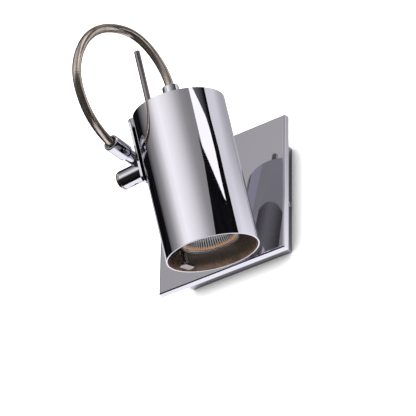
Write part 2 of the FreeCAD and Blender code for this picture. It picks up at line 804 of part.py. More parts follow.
def reflector_outline():
    """Outer (radius, z) points of the reflector from its rim to its neck."""
    rim_top = lamp_front_z + lamp_rim_height
    rise = lamp_neck_z - rim_top
    flare = reflector_radius - reflector_neck_radius
    return [
        (lamp_radius, lamp_front_z),
        (lamp_radius, rim_top),
        (reflector_radius, rim_top),
        (reflector_neck_radius + 0.845 * flare, rim_top + 0.3 * rise),
        (reflector_neck_radius + 0.493 * flare, rim_top + 0.65 * rise),
        (reflector_neck_radius + 0.141 * flare, rim_top + 0.92 * rise),
        (reflector_neck_radius, lamp_neck_z),
    ]


def lamp_reflector():
    outer = reflector_outline()
    glass_back = lamp_front_z + glass_thickness
    seat = lamp_radius - reflector_wall
    inner = [(r - reflector_wall, z - reflector_wall * 0.6) for r, z in reversed(outer[2:-1])]
    points = outer + [(0, lamp_neck_z), (0, lamp_neck_z - reflector_wall)]
    points += [(burner_radius + 1.0, lamp_neck_z - reflector_wall)] + inner
    points += [(seat - glass_ledge, glass_back), (seat, glass_back), (seat, lamp_front_z)]
    return turned(points)


def lamp_glass():
    """The clear front disc in the reflector's rim."""
    return cylinder(lamp_radius - reflector_wall, lamp_front_z + glass_sink, lamp_front_z + glass_thickness)


def lamp_burner():
    """The capsule on the reflector's axis."""
    top = lamp_neck_z - reflector_wall
    tip = top - burner_length
    capsule = cylinder(burner_radius, tip + burner_radius, top)
    return capsule.fuse(Part.makeSphere(burner_radius, V(0, 0, tip + burner_radius))).removeSplitter()


def lamp_base():
    base = cylinder(lamp_base_radius, lamp_neck_z, base_top_z)
    return base.makeChamfer(lamp_base_chamfer, edges_where(base, lambda p: p.z > base_top_z - 0.01))


def lamp_pin(side):
    """One of the two headed contact pins."""
    centre = (0, side * lamp_pin_spacing / 2)
    top = base_top_z + lamp_pin_length
    pin = cylinder(lamp_pin_radius, base_top_z, top, centre)
    head = cylinder(lamp_pin_head_radius, top - lamp_pin_head, top, centre)
    return pin.fuse(head).removeSplitter()


def lamp_holder():
    holder = cylinder(holder_radius, holder_bottom_z, holder_top_z)
    rim = edges_where(holder, lambda p: p.z < holder_bottom_z + 0.01)
    holder = holder.makeChamfer(lamp_base_chamfer, rim)
    depth = holder_bottom_z + lamp_pin_length + pin_room
    for side in (-1, 1):
        pin_y = side * lamp_pin_spacing / 2
        screw_y = side * holder_screw_spacing / 2
        holder = holder.cut(cylinder(lamp_pin_head_radius + pin_room, holder_bottom_z - 1, depth, (0, pin_y)))
        screw_end = holder_top_z - holder_screw_depth - pin_room
        holder = holder.cut(cylinder(small_screw_radius, screw_end, holder_top_z + 1, (0, screw_y)))
    return holder


def holder_bridge():
    """The plate that hangs the lamp holder on the rod."""
    half = bridge_width / 2
    hub_top = holder_top_z + bridge_hub_height
    rod_centre = (-rod_offset, 0)
    plate = cylinder(holder_radius, holder_top_z, bridge_top_z)
    plate = plate.fuse(box((-rod_offset, -half, holder_top_z), (0, half, bridge_top_z)))
    plate = plate.fuse(cylinder(hub_radius, holder_top_z, hub_top, rod_centre)).removeSplitter()
    plate = plate.cut(cylinder(rod_radius, holder_top_z - 1, hub_top + 1, rod_centre))
    for side in (-1, 1):
        screw_y = side * holder_screw_spacing / 2
        plate = plate.cut(cylinder(small_screw_radius, holder_top_z - 1, bridge_top_z + 1, (0, screw_y)))
    plate = plate.cut(cylinder(bridge_wire_radius, holder_top_z - 1, bridge_top_z + 1))
    return drilled(plate, small_screw_radius, rod_surface(bridge_screw_z), -X_AXIS, hub_radius)


def holder_screw(side):
    seat = V(0, side * holder_screw_spacing / 2, bridge_top_z)
    return pan_screw(bridge_thickness + holder_screw_depth, seat, Z_AXIS)


# ---------------------------------------------------------------- the parts
def build():
    """Every solid in its place, by node name."""
    upper_screw, lower_screw = bracket_screw_depths
    fixed = {
        "cover_plate": cover_plate(),
        "cover_box": cover_box(),
        "crossbar": crossbar(),
        "cable_grommet": grommet(),
        "terminal_block": terminal_block(),
        "earth_screw": earth_screw(),
        "side_screw_left": side_screw(-1),
        "side_screw_right": side_screw(1),
        "arm_bearing": bearing(),
        "arm_bearing_nut": bearing_nut(),
        "stop_pin": stop_pin(),
        "conduit": conduit(),
    }
    arm = {
        "arm_tube": arm_tube(),
        "arm_collar": arm_collar(),
        "arm_stop_washer": stop_washer(),
        "arm_locknut": arm_locknut(),
        "arm_ferrule": arm_ferrule(),
        "arm_ferrule_grub": arm_ferrule_grub(),
        "knuckle": knuckle(),
        "knuckle_cap": knuckle_cap(),
        "knuckle_grub": knuckle_grub(),
        "knuckle_end_grub": end_grub(),
    }
    head = {
        "head_tube": head_tube(),
        "head_cap": head_cap(),
        "cap_ferrule": cap_ferrule(),
        "cap_ferrule_base": cap_ferrule_base(),
        "cap_ferrule_nut": cap_nut(cap_ferrule_neck_radius, cap_ferrule_x),
        "cap_ferrule_grub": cap_ferrule_grub(),
        "bracket_plate": bracket_plate(),
        "bracket_screw_upper": bracket_screw(upper_screw),
        "bracket_screw_lower": bracket_screw(lower_screw),
        "bracket_nut_upper": bracket_nut(upper_screw),
        "bracket_nut_lower": bracket_nut(lower_screw),
        "tilt_pin": tilt_pin(),
        "tilt_washer": tilt_washer(),
        "rod_guide": rod_guide(),
        "rod_guide_nut": cap_nut(guide_neck_radius, -rod_offset),
        "rod_guide_grub": guide_grub(),
        "rod": rod(),
        "rod_foot": rod_foot(),
        "lamp_ring": lamp_ring(),
        "lamp_ring_grub": hub_grub(ring_screw_z),
        "lamp_clip": lamp_clip(),
        "lamp_reflector": lamp_reflector(),
        "lamp_glass": lamp_glass(),
        "lamp_burner": lamp_burner(),
        "lamp_base": lamp_base(),
        "lamp_pin_front": lamp_pin(-1),
        "lamp_pin_rear": lamp_pin(1),
        "lamp_holder": lamp_holder(),
        "holder_bridge": holder_bridge(),
        "holder_bridge_grub": hub_grub(bridge_screw_z),
        "holder_screw_front": holder_screw(-1),
        "holder_screw_rear": holder_screw(1),
    }
    nodes = dict(fixed)
    nodes.update({name: on_arm(shape) for name, shape in arm.items()})
    nodes.update({name: on_head(shape) for name, shape in head.items()})
    return nodes


def main():
    os.makedirs("parts", exist_ok=True)
    for name, shape in build().items():
        if len(shape.Solids) != 1 or not shape.isValid():
            print("check", name, "solids", len(shape.Solids), "valid", shape.isValid())
        shape.exportStep("parts/" + name + ".step")


main()
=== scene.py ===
# %% [markdown]
# # A pivoting spotlight for the wall
#
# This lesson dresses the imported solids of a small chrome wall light. A square plate carries an arm, a
# turned barrel under the arm carries the lamp's tube, and a wound conduit loops from the arm to the
# tube's cap. Almost everything is polished chrome, so the shapes are seen only by what they reflect:
# clean turned surfaces, small rounds on the edges and a well planned studio matter more than colour.

import json
import math

import bmesh
import bpy
from mathutils import Matrix, Quaternion, Vector


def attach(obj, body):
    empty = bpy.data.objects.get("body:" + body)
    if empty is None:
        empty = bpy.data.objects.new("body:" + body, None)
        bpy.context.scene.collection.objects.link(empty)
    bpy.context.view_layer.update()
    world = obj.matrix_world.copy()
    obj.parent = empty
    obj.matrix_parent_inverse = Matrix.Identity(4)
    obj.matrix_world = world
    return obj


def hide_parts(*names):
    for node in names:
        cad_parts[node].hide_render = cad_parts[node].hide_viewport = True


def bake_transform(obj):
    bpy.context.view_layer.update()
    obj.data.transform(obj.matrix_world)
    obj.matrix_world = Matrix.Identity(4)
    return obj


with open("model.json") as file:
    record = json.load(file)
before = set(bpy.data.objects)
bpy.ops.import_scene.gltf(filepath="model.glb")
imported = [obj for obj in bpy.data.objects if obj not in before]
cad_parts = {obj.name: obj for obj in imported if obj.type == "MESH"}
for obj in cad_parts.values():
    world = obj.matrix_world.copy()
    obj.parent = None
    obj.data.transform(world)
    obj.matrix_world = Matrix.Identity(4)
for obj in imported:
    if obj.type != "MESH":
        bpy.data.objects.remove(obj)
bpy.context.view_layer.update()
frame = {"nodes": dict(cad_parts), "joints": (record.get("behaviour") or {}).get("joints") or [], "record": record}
nodes = frame["nodes"]
MM = 0.001

# %% [markdown]
# ## Three frames of reference
#
# The pieces on the wall are modelled where they are. The arm's pieces are modelled about the arm's axis,
# and the head's about the tube's axis with the cap's centre as the origin, and then they are put in their
# place. Both frames are read from the joints: the swivel's axis is the arm's axis, the slide runs along
# the tube, and the tilt's axis lies across it.

# %% The arm's and the head's frame
joints = {joint["name"]: joint for joint in frame["joints"]}
CAP_ABOVE_TILT_AXIS = 39.4
across = -Vector(joints["tilt"]["axis"])
tube_up = Vector(joints["lamp_slide"]["axis"])
tilt_centre = Vector(joints["tilt"]["pos_m"])
outward = Vector((0, 1, 0))


def frame_of(x_axis, y_axis, origin):
    """The matrix of a frame with these X and Y axes."""
    turn = Matrix((x_axis, y_axis, x_axis.cross(y_axis))).transposed().to_4x4()
    return Matrix.Translation(origin) @ turn


swivel_place = Vector(joints["swivel"]["pos_m"])
IN_PLACE = Matrix.Identity(4)
ARM = frame_of(across, outward, Vector((swivel_place.x, 0, swivel_place.z)))
HEAD = frame_of(across, tube_up.cross(across), tilt_centre + tube_up * CAP_ABOVE_TILT_AXIS * MM)
print("cap's centre, mm", [round(v / MM, 2) for v in HEAD.translation])

# %% [markdown]
# ## The camera
#
# The photograph was taken from below and from the right with a long lens, so that the far edges of the
# plate hardly shrink. The place, the lens and a roll of one degree were fitted to the plate's corners.

# %% Camera
CAMERA_AZIMUTH = math.radians(38.150)
CAMERA_ELEVATION = math.radians(-32.536)
CAMERA_ROLL = math.radians(1.0575)
CAMERA_PLACE = Vector((1.39350, -1.82544, -1.45320))
CAMERA_LENS = 259.95


def add_camera():
    backward = Vector((
        math.sin(CAMERA_AZIMUTH) * math.cos(CAMERA_ELEVATION),
        -math.cos(CAMERA_AZIMUTH) * math.cos(CAMERA_ELEVATION),
        math.sin(CAMERA_ELEVATION),
    ))
    level = Vector((math.cos(CAMERA_AZIMUTH), math.sin(CAMERA_AZIMUTH), 0))
    level.rotate(Quaternion(backward, CAMERA_ROLL))
    bpy.ops.object.camera_add()
    camera = bpy.context.object
    camera.name = "camera"
    camera.matrix_world = frame_of(level, backward.cross(level), CAMERA_PLACE)
    camera.data.lens = CAMERA_LENS
    camera.data.sensor_width = 36
    camera.data.clip_end = 20
    bpy.context.scene.camera = camera
    print("camera's distance in m", round(CAMERA_PLACE.length, 2), "lens in mm", CAMERA_LENS)


add_camera()

# %% [markdown]
# ## Tools for shaping
#
# Most of this lamp was turned on a lathe. In Blender a turned piece can be spun from an outline, or grown
# ring by ring: a circle is extruded, moved and scaled to the next radius, as a turner works along the
# bar. The second way is used here, because every ring stays exactly round.

# %% Shaping helpers
def deselect():
    """Leaves edit mode and selects nothing, so that an operator acts on the new piece alone."""
    if bpy.context.object and bpy.context.object.mode == "EDIT":
        bpy.ops.object.mode_set(mode="OBJECT")
    bpy.ops.object.select_all(action="DESELECT")


def activate(piece):
    deselect()
    piece.select_set(True)
    bpy.context.view_layer.objects.active = piece


def pick(kind, test):
    """In edit mode, selects the vertices, edges or faces that pass the test."""
    bpy.ops.mesh.select_mode(type=kind)
    bpy.ops.mesh.select_all(action="DESELECT")
    mesh = bmesh.from_edit_mesh(bpy.context.object.data)
    mesh.normal_update()
    for element in {"VERT": mesh.verts, "EDGE": mesh.edges, "FACE": mesh.faces}[kind]:
        element.select_set(test(element))
    bmesh.update_edit_mesh(bpy.context.object.data)


def modify(piece, kind, **settings):
    """Adds a modifier, sets it and applies it."""
    activate(piece)
    bpy.ops.object.modifier_add(type=kind)
    modifier = piece.modifiers[-1]
    for name, value in settings.items():
        setattr(modifier, name, value)
    bpy.ops.object.modifier_apply(modifier=modifier.name)


def smooth(piece, degrees=35):
    """Smooth shading in which the large faces keep their true direction beside narrow rounds."""
    activate(piece)
    bpy.ops.object.shade_smooth_by_angle(angle=math.radians(degrees))
    modify(piece, "WEIGHTED_NORMAL", mode="FACE_AREA", weight=50, keep_sharp=True)


def soften(piece, width, segments=3):
    """Rounds the sharp edges: on plated metal each one catches a thin line of light."""
    modify(piece, "BEVEL", width=width * MM, segments=segments, limit_method="ANGLE",
           angle_limit=math.radians(30), use_clamp_overlap=True)
    smooth(piece)


def turned(name, outline, sides=96, ring=False):
    """Grows a piece ring by ring through (radius, height) points in mm.

    A ring closes on its first point. Any other piece gets a disc at both ends of its outline.
    """
    deselect()
    radius, height = outline[0]
    bpy.ops.mesh.primitive_circle_add(vertices=sides, radius=radius * MM, location=(0, 0, height * MM))
    piece = bpy.context.object
    piece.name = name
    bpy.ops.object.transform_apply(location=True, rotation=False, scale=False)
    bpy.ops.object.mode_set(mode="EDIT")
    bpy.ops.mesh.select_mode(type="VERT")
    bpy.ops.mesh.select_all(action="SELECT")
    following = outline[1:] + (outline[:1] if ring else [])
    for (r0, z0), (r1, z1) in zip(outline, following):
        bpy.ops.mesh.extrude_region_move(TRANSFORM_OT_translate={"value": (0, 0, (z1 - z0) * MM)})
        bpy.ops.transform.resize(value=(r1 / r0, r1 / r0, 1), center_override=(0, 0, z1 * MM))
    bpy.ops.mesh.select_all(action="SELECT")
    bpy.ops.mesh.remove_doubles(threshold=0.001 * MM)
    if not ring:
        bpy.ops.mesh.fill_holes(sides=0)
        bpy.ops.mesh.select_all(action="SELECT")
    bpy.ops.mesh.normals_make_consistent(inside=False)
    bpy.ops.object.mode_set(mode="OBJECT")
    return piece


def cut(piece, cutter):
    """Takes the cutter's shape out of the piece and removes the cutter."""
    modify(piece, "BOOLEAN", operation="DIFFERENCE", solver="EXACT", object=cutter)
    bpy.data.objects.remove(cutter)


def put(piece, matrix):
    """Moves the piece to its place and writes that place into its mesh."""
    piece.matrix_world = matrix @ piece.matrix_world
    activate(piece)
    bpy.ops.object.transform_apply(location=True, rotation=True, scale=True)


def towards(direction, origin):
    """The matrix that turns Z to a direction and moves it to a place in mm."""
    turn = Vector(direction).to_track_quat("Z", "Y").to_matrix().to_4x4()
    return Matrix.Translation(Vector(origin) * MM) @ turn


def dress(piece, body, material, slot, *stands_for):
    """Gives the piece its finish, its body if it keeps to one, and the solids it stands for."""
    piece.data.materials.clear()
    piece.data.materials.append(material)
    if body:
        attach(piece, body)
    if stands_for:
        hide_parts(*stands_for)
    print(piece.name, len(piece.data.polygons), "faces")


def complete(piece, place, edge, segments, *dressing):
    """Puts a piece in its place, rounds its edges and dresses it."""
    put(piece, place)
    soften(piece, edge, segments)
    dress(piece, *dressing)


# %% [markdown]
# ## Finishes
#
# Each finish is named for how its surface was made. Colours are written as sRGB hex values and turned to
# linear light by one function. One more function adds a node with its settings and links.

# %% Node helpers
def linear(hex_colour):
    """An sRGB hex colour as linear red, green, blue and alpha."""
    values = [int(hex_colour[i:i + 2], 16) / 255 for i in (1, 3, 5)]
    return [v / 12.92 if v <= 0.04045 else ((v + 0.055) / 1.055) ** 2.4 for v in values] + [1.0]


def add(tree, kind, inputs=None, **settings):
    """Adds a node with its settings. Each input takes a constant, a node or one output of a node."""
    node = tree.nodes.new(kind)
    for name, value in settings.items():
        setattr(node, name, value)
    for name, value in (inputs or {}).items():
        if isinstance(value, bpy.types.Node):
            value = value.outputs[0]
        if isinstance(value, bpy.types.NodeSocket):
            tree.links.new(value, node.inputs[name])
        else:
            node.inputs[name].default_value = value
    return node


def maths(tree, operation, *values):
    """One operation on constants, nodes or outputs of nodes."""
    return add(tree, "ShaderNodeMath", dict(enumerate(values)), operation=operation)


def remap(tree, value, low=0.0, high=1.0, to_low=0.0, to_high=1.0, **settings):
    """Moves a value from one range into another one and holds it there."""
    return add(tree, "ShaderNodeMapRange", {"Value": value, "From Min": low, "From Max": high,
                                            "To Min": to_low, "To Max": to_high}, **settings)


def new_material(name):
    material = bpy.data.materials.new(name)
    material.use_nodes = True
    tree = material.node_tree
    tree.nodes.clear()
    return material, tree


def patches(tree, size, low, high, detail=2.0):
    """A value that wanders from low to high over patches of about size mm on the piece."""
    place = add(tree, "ShaderNodeTexCoord").outputs["Object"]
    pattern = add(tree, "ShaderNodeTexNoise", {"Vector": place, "Scale": 1 / (size * MM), "Detail": detail})
    return remap(tree, pattern, 0.35, 0.65, low, high)


def plain_metal(name, colour, roughness, patch, bump, bump_size, metallic=1.0):
    """A metal whose polish varies a little from patch to patch, with a faint unevenness in its surface."""
    material, tree = new_material(name)
    uneven = add(tree, "ShaderNodeBump",
                 {"Strength": bump, "Distance": 0.05 * MM, "Height": patches(tree, bump_size, 0.0, 1.0, 3.0)})
    shader = add(tree, "ShaderNodeBsdfPrincipled", {
        "Base Color": linear(colour), "Metallic": metallic,
        "Roughness": patches(tree, patch, *roughness), "Normal": uneven})
    add(tree, "ShaderNodeOutputMaterial", {"Surface": shader})
    return material


# %% [markdown]
# ### Polished chrome plating
#
# Chrome is plated over polished brass or steel. It is a little blue-violet beside silver and almost a
# perfect mirror. Buffing leaves a haze that varies over a centimetre or so, which keeps the long
# reflections from looking like glass.

# %% Metals
chrome = plain_metal("polished_chrome_plating", "#F4F2F8", roughness=(0.02, 0.05), patch=9.0,
                     bump=0.02, bump_size=14.0)

# Worn nickel plating: warm and a little dull, in small patches.
worn_nickel = plain_metal("worn_nickel_plating", "#E8DFD0", roughness=(0.12, 0.22), patch=3.0,
                          bump=0.05, bump_size=1.5)

# Satin nickel plating: grey, without clear reflections.
satin_nickel = plain_metal("satin_nickel_plating", "#938F8E", roughness=(0.16, 0.26), patch=3.0,
                           bump=0.05, bump_size=1.5)

# Zinc-plated stock screws and nuts: cool, cloudy and matt beside the chrome.
zinc = plain_metal("zinc_plated_steel", "#B4B7BC", roughness=(0.24, 0.42), patch=1.5,
                   bump=0.15, bump_size=0.8)

# Steel ground to size and left bare: a neutral grey that blurs what it reflects.
ground_steel = plain_metal("ground_steel_rod", "#A5A09E", roughness=(0.14, 0.22), patch=4.0,
                           bump=0.05, bump_size=1.0)

# Set screws blackened in a hot bath: almost black, with a dull edge light.
black_oxide = plain_metal("blackened_steel", "#26262A", roughness=(0.3, 0.45), patch=1.0,
                          bump=0.1, bump_size=0.5)
print("metals", [finish.name for finish in (chrome, worn_nickel, satin_nickel, zinc, ground_steel,
                                            black_oxide)])

# %% [markdown]
# ### Ceramic, rubber and moulded plastic
#
# The lamp's holder and base are unglazed steatite, which is chalky and slightly speckled. The cable ring
# is black rubber, and the terminal block is white polyamide with the soft gloss of a moulded part.

# %% Non-metals
def plain_matter(name, colour, fleck, roughness, grain, bump):
    """A moulded or fired material: its colour drifts towards the fleck colour from grain to grain."""
    material, tree = new_material(name)
    share = patches(tree, grain, 0.0, 1.0, 3.0)
    tone = add(tree, "ShaderNodeMix", {"Factor": share, "A": linear(colour), "B": linear(fleck)},
               data_type="RGBA")
    uneven = add(tree, "ShaderNodeBump", {"Strength": bump, "Distance": 0.05 * MM, "Height": share})
    shader = add(tree, "ShaderNodeBsdfPrincipled", {
        "Base Color": tone.outputs["Result"],
        "Roughness": patches(tree, grain, *roughness, 3.0), "Normal": uneven})
    add(tree, "ShaderNodeOutputMaterial", {"Surface": shader})
    return material


steatite = plain_matter("unglazed_steatite", "#E9E4D8", "#D6CFBF", (0.6, 0.75), 0.6, 0.3)
polyamide = plain_matter("moulded_white_polyamide", "#E8E8E4", "#DDDDD8", (0.35, 0.45), 2.0, 0.1)
rubber = plain_matter("black_rubber", "#1A1A1B", "#232324", (0.6, 0.8), 0.8, 0.3)
print("non-metals", [finish.name for finish in (steatite, polyamide, rubber)])

# %% [markdown]
# ## The conduit
#
# The wires run from the arm to the lamp in a conduit: a steel strip wound into a tube, so that it can be
# bent by hand and stays so. Its length is fixed, so its line comes first: a smooth curve through points
# that leave each ferrule straight. The tube is then swept along the curve that Blender evaluates.

# %% The conduit's line
CONDUIT_RADIUS = 4.05 * MM
CONDUIT_ROUTE = [
    (-0.0343, -0.1439, 0.0174),
    (-0.0343, -0.1579, 0.0174),
    (-0.031, -0.19, 0.031),
    (-0.027, -0.21, 0.059),
    (-0.0195, -0.207, 0.0915),
    (-0.014, -0.1845, 0.1145),
    (-0.002, -0.154, 0.1175),
    (0.00999, -0.12744, 0.08694),
    (0.01143, -0.12174, 0.06782),
]


def smooth_line(route):
    """The points of a smooth curve that has the route's points as its control points."""
    curve = bpy.data.curves.new("conduit_line", "CURVE")
    curve.dimensions = "3D"
    spline = curve.splines.new("NURBS")
    spline.points.add(len(route) - 1)
    for point, place in zip(spline.points, route):
        point.co = (*place, 1)
    spline.order_u = 3
    spline.use_endpoint_u = True
    spline.resolution_u = 24
    carrier = bpy.data.objects.new("conduit_line", curve)
    bpy.context.scene.collection.objects.link(carrier)
    mesh = bpy.data.meshes.new_from_object(carrier)
    points = [vertex.co.copy() for vertex in mesh.vertices]
    bpy.data.objects.remove(carrier)
    bpy.data.meshes.remove(mesh)
    return points


conduit_line = smooth_line(CONDUIT_ROUTE)
steps = [(b - a).length for a, b in zip(conduit_line, conduit_line[1:])]
conduit_length = sum(steps)
print("conduit's length in mm", round(conduit_length / MM, 1))

# %% [markdown]
# Each turn of the strip overlaps the last one, which leaves a fine groove that climbs round the tube like
# a thread. The picture is too coarse to show how far apart the turns are, so the pitch here is a guess.
# The rings below stand a quarter of it apart, and each point's radius depends on where it lies between
# two grooves.

# %% The wound tube
WINDING_PITCH = 1.3 * MM
GROOVE_DEPTH = 0.05 * MM
RING_SIDES = 28


def along_line(points, lengths, spacing):
    """Places and directions at an even spacing along the line."""
    total = sum(lengths)
    count = round(total / spacing)
    places, index, passed = [], 0, 0.0
    for i in range(count + 1):
        target = min(total * i / count, total - 1e-9)
        while passed + lengths[index] < target:
            passed += lengths[index]
            index += 1
        share = (target - passed) / lengths[index]
        places.append(points[index].lerp(points[index + 1], share))
    ahead = places[1:] + [places[-1] * 2 - places[-2]]
    behind = [places[0] * 2 - places[1]] + places[:-1]
    return places, [(b - a).normalized() for a, b in zip(behind, ahead)], total / count


def wound_tube(name, points, lengths):
    places, directions, spacing = along_line(points, lengths, WINDING_PITCH / 4)
    mesh = bmesh.new()
    side = directions[0].orthogonal().normalized()
    rings = []
    for i, (place, direction) in enumerate(zip(places, directions)):
        side = (side - direction * side.dot(direction)).normalized()
        other = direction.cross(side)
        ring = []
        for k in range(RING_SIDES):
            angle = 2 * math.pi * k / RING_SIDES
            phase = (i * spacing / WINDING_PITCH - k / RING_SIDES) % 1.0
            radius = CONDUIT_RADIUS - GROOVE_DEPTH * (1 - math.sin(math.pi * phase)) ** 2
            ring.append(mesh.verts.new(place + (side * math.cos(angle) + other * math.sin(angle)) * radius))
        rings.append(ring)
    for lower, upper in zip(rings, rings[1:]):
        for k in range(RING_SIDES):
            n = (k + 1) % RING_SIDES
            mesh.faces.new((lower[k], lower[n], upper[n], upper[k]))
    mesh.faces.new(list(reversed(rings[0])))
    mesh.faces.new(rings[-1])
    bmesh.ops.recalc_face_normals(mesh, faces=mesh.faces)
    for face in mesh.faces:
        face.smooth = True
    data = bpy.data.meshes.new(name)
    mesh.to_mesh(data)
    mesh.free()
    tube = bpy.data.objects.new(name, data)
    bpy.context.scene.collection.objects.link(tube)
    return tube


def wound_steel():
    """Rolled strip with a thin nickel plating: a warm mirror whose tone drifts, and brown at its edges."""
    material, tree = new_material("wound_steel_strip")
    share = patches(tree, 6.0, 0.0, 1.0, 3.0)
    tone = add(tree, "ShaderNodeMix", {"Factor": share, "A": linear("#E6DACD"), "B": linear("#CDBFB0")},
               data_type="RGBA")
    shader = add(tree, "ShaderNodeBsdfPrincipled", {
        "Base Color": tone.outputs["Result"], "Metallic": 0.92,
        "Roughness": patches(tree, 6.0, 0.09, 0.15, 3.0), "Specular Tint": linear("#5A5048")})
    add(tree, "ShaderNodeOutputMaterial", {"Surface": shader})
    return material


conduit = wound_tube("conduit_wound", conduit_line, steps)
dress(conduit, None, wound_steel(), "conduit", "conduit")
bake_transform(conduit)

# %% [markdown]
# ## The wall plate and its box
#
# The plate is a shallow square tray, folded from sheet with mitred corners and a small round along its
# front edge. A smaller box behind it covers the bracket on the wall. Both start as a cube: the back
# face is inset by the sheet's thickness and pushed in, which leaves a closed tray.

# %% Plate and box
PLATE_SIDE, PLATE_FRONT, PLATE_BACK, PLATE_WALL = 140.0, -32.0, -25.4, 1.6
BOX_SIDE, BOX_FRONT, BOX_WALL, BOX_OPENING = 110.0, -30.4, 1.2, 94.0
ARM_X, ARM_Z = -34.3, 17.4
FRONT_EDGE_ROUND = 1.9
ARM_HOLE_RADIUS = 8.1
SIDE_SCREW_RADIUS, SIDE_SCREW_Y, SIDE_SCREW_Z = 1.6, -4.5, -7.0


def block(name, low, high):
    """A box between two corners in mm."""
    deselect()
    middle = [(a + b) / 2 * MM for a, b in zip(low, high)]
    bpy.ops.mesh.primitive_cube_add(size=1, location=middle, scale=[(b - a) * MM for a, b in zip(low, high)])
    piece = bpy.context.object
    piece.name = name
    bpy.ops.object.transform_apply(location=True, rotation=False, scale=True)
    return piece


def tray(name, side, front, back, wall):
    """A square box whose back is open, with walls of the sheet's thickness."""
    piece = block(name, (-side / 2, front, -side / 2), (side / 2, back, side / 2))
    bpy.ops.object.mode_set(mode="EDIT")
    pick("FACE", lambda face: face.normal.y > 0.9)
    bpy.ops.mesh.inset(thickness=wall * MM)
    bpy.ops.mesh.extrude_region_move(TRANSFORM_OT_translate={"value": (0, -(back - front - wall) * MM, 0)})
    bpy.ops.object.mode_set(mode="OBJECT")
    return piece


def rod_cutter(radius, start, end, matrix, sides=64):
    """A round bar along the matrix's Z between two places in mm, to cut a hole with."""
    deselect()
    bpy.ops.mesh.primitive_cylinder_add(vertices=sides, radius=radius * MM, depth=(end - start) * MM,
                                        location=(0, 0, (start + end) / 2 * MM))
    cutter = bpy.context.object
    put(cutter, matrix)
    return cutter


plate = tray("cover_plate_shell", PLATE_SIDE, PLATE_FRONT, PLATE_BACK, PLATE_WALL)
activate(plate)
bpy.ops.object.mode_set(mode="EDIT")
pick("EDGE", lambda edge: all(vertex.co.y < (PLATE_FRONT + 0.1) * MM for vertex in edge.verts))
bpy.ops.mesh.bevel(offset=FRONT_EDGE_ROUND * MM, segments=8, affect="EDGES")
bpy.ops.object.mode_set(mode="OBJECT")
soften(plate, 0.25, 2)
cut(plate, rod_cutter(ARM_HOLE_RADIUS, -10, 10, towards((0, 1, 0), (ARM_X, PLATE_FRONT, ARM_Z))))
smooth(plate, 35)
dress(plate, "base", chrome, "chrome", "cover_plate")

box = tray("cover_box_shell", BOX_SIDE, BOX_FRONT, 0.0, BOX_WALL)
soften(box, 0.35, 3)
half_opening = BOX_OPENING / 2
cut(box, block("opening_cutter", (-half_opening, BOX_FRONT - 5, -half_opening),
               (half_opening, BOX_FRONT + 5, half_opening)))
for side in (-1, 1):
    side_hole = towards((side, 0, 0), (0, SIDE_SCREW_Y, SIDE_SCREW_Z))
    cut(box, rod_cutter(SIDE_SCREW_RADIUS, 40, 60, side_hole, 32))
smooth(box, 35)
dress(box, "base", chrome, "chrome", "cover_box")

# %% [markdown]
# ## The arm
#
# The arm is a tube that turns in a bush. A flat rosette covers the hole in the plate, and a collar on the
# arm runs against it. At the arm's end a ferrule holds the conduit: a turned socket whose mouth is wider
# than the wires' bore, with a screw in its side.

# %% Rosette, collar and tube
ALONG_ARM = ARM @ towards((0, 1, 0), (0, 0, 0))
ROSETTE_FRONT = -35.0
ARM_RADIUS, ARM_BORE, ARM_START, ARM_END = 5.75, 4.75, -17.0, -136.9

rosette = turned("rosette_turned", [(5.8, ROSETTE_FRONT), (11.2, ROSETTE_FRONT), (12.0, -34.2),
                                    (12.0, PLATE_FRONT), (8.0, PLATE_FRONT), (8.0, -22.0), (5.8, -22.0)],
                 ring=True)
complete(rosette, towards((0, 1, 0), (ARM_X, 0, ARM_Z)), 0.15, 2, "base", chrome, "chrome", "arm_bearing")

collar = turned("collar_turned", [(ARM_RADIUS, -40.1), (8.2, -40.1), (9.0, -39.3), (9.0, -35.1),
                                  (ARM_RADIUS, -35.1)], ring=True)
complete(collar, ALONG_ARM, 0.2, 2, "arm", chrome, "chrome", "arm_collar")

arm_tube = turned("arm_tube_drawn", [(ARM_BORE, ARM_END), (ARM_RADIUS, ARM_END), (ARM_RADIUS, ARM_START),
                                     (ARM_BORE, ARM_START)], ring=True)
complete(arm_tube, ALONG_ARM, 0.15, 2, "arm", chrome, "chrome", "arm_tube")

# %% Ferrules
FERRULE_RADIUS, FERRULE_LENGTH, FERRULE_MOUTH, FERRULE_WIRE = 7.6, 22.0, 5.8, 2.8
FERRULE_EDGE, FERRULE_SEAT, ARM_FERRULE_FOOT = 0.8, 5.0, -126.9
GRUB_RADIUS, SMALL_GRUB_RADIUS, GRUB_REACH, GRUB_ABOVE_FOOT = 2.0, 1.5, 2.9, 12.0


def ferrule_rim():
    """The outline from the foot's outer edge up the side and down into the mouth."""
    r, length, edge = FERRULE_RADIUS, FERRULE_LENGTH, FERRULE_EDGE
    return [(r - edge, 0), (r, edge), (r, length - edge), (r - edge, length), (FERRULE_MOUTH, length),
            (FERRULE_MOUTH, length - FERRULE_SEAT), (FERRULE_WIRE, length - FERRULE_SEAT)]


def grub_hole(radius, start, direction, frame_matrix):
    """A cutter for a set screw's hole: it starts at a place in mm and runs out along a direction."""
    return rod_cutter(radius, 0, 12, frame_matrix @ towards(direction, start), 40)


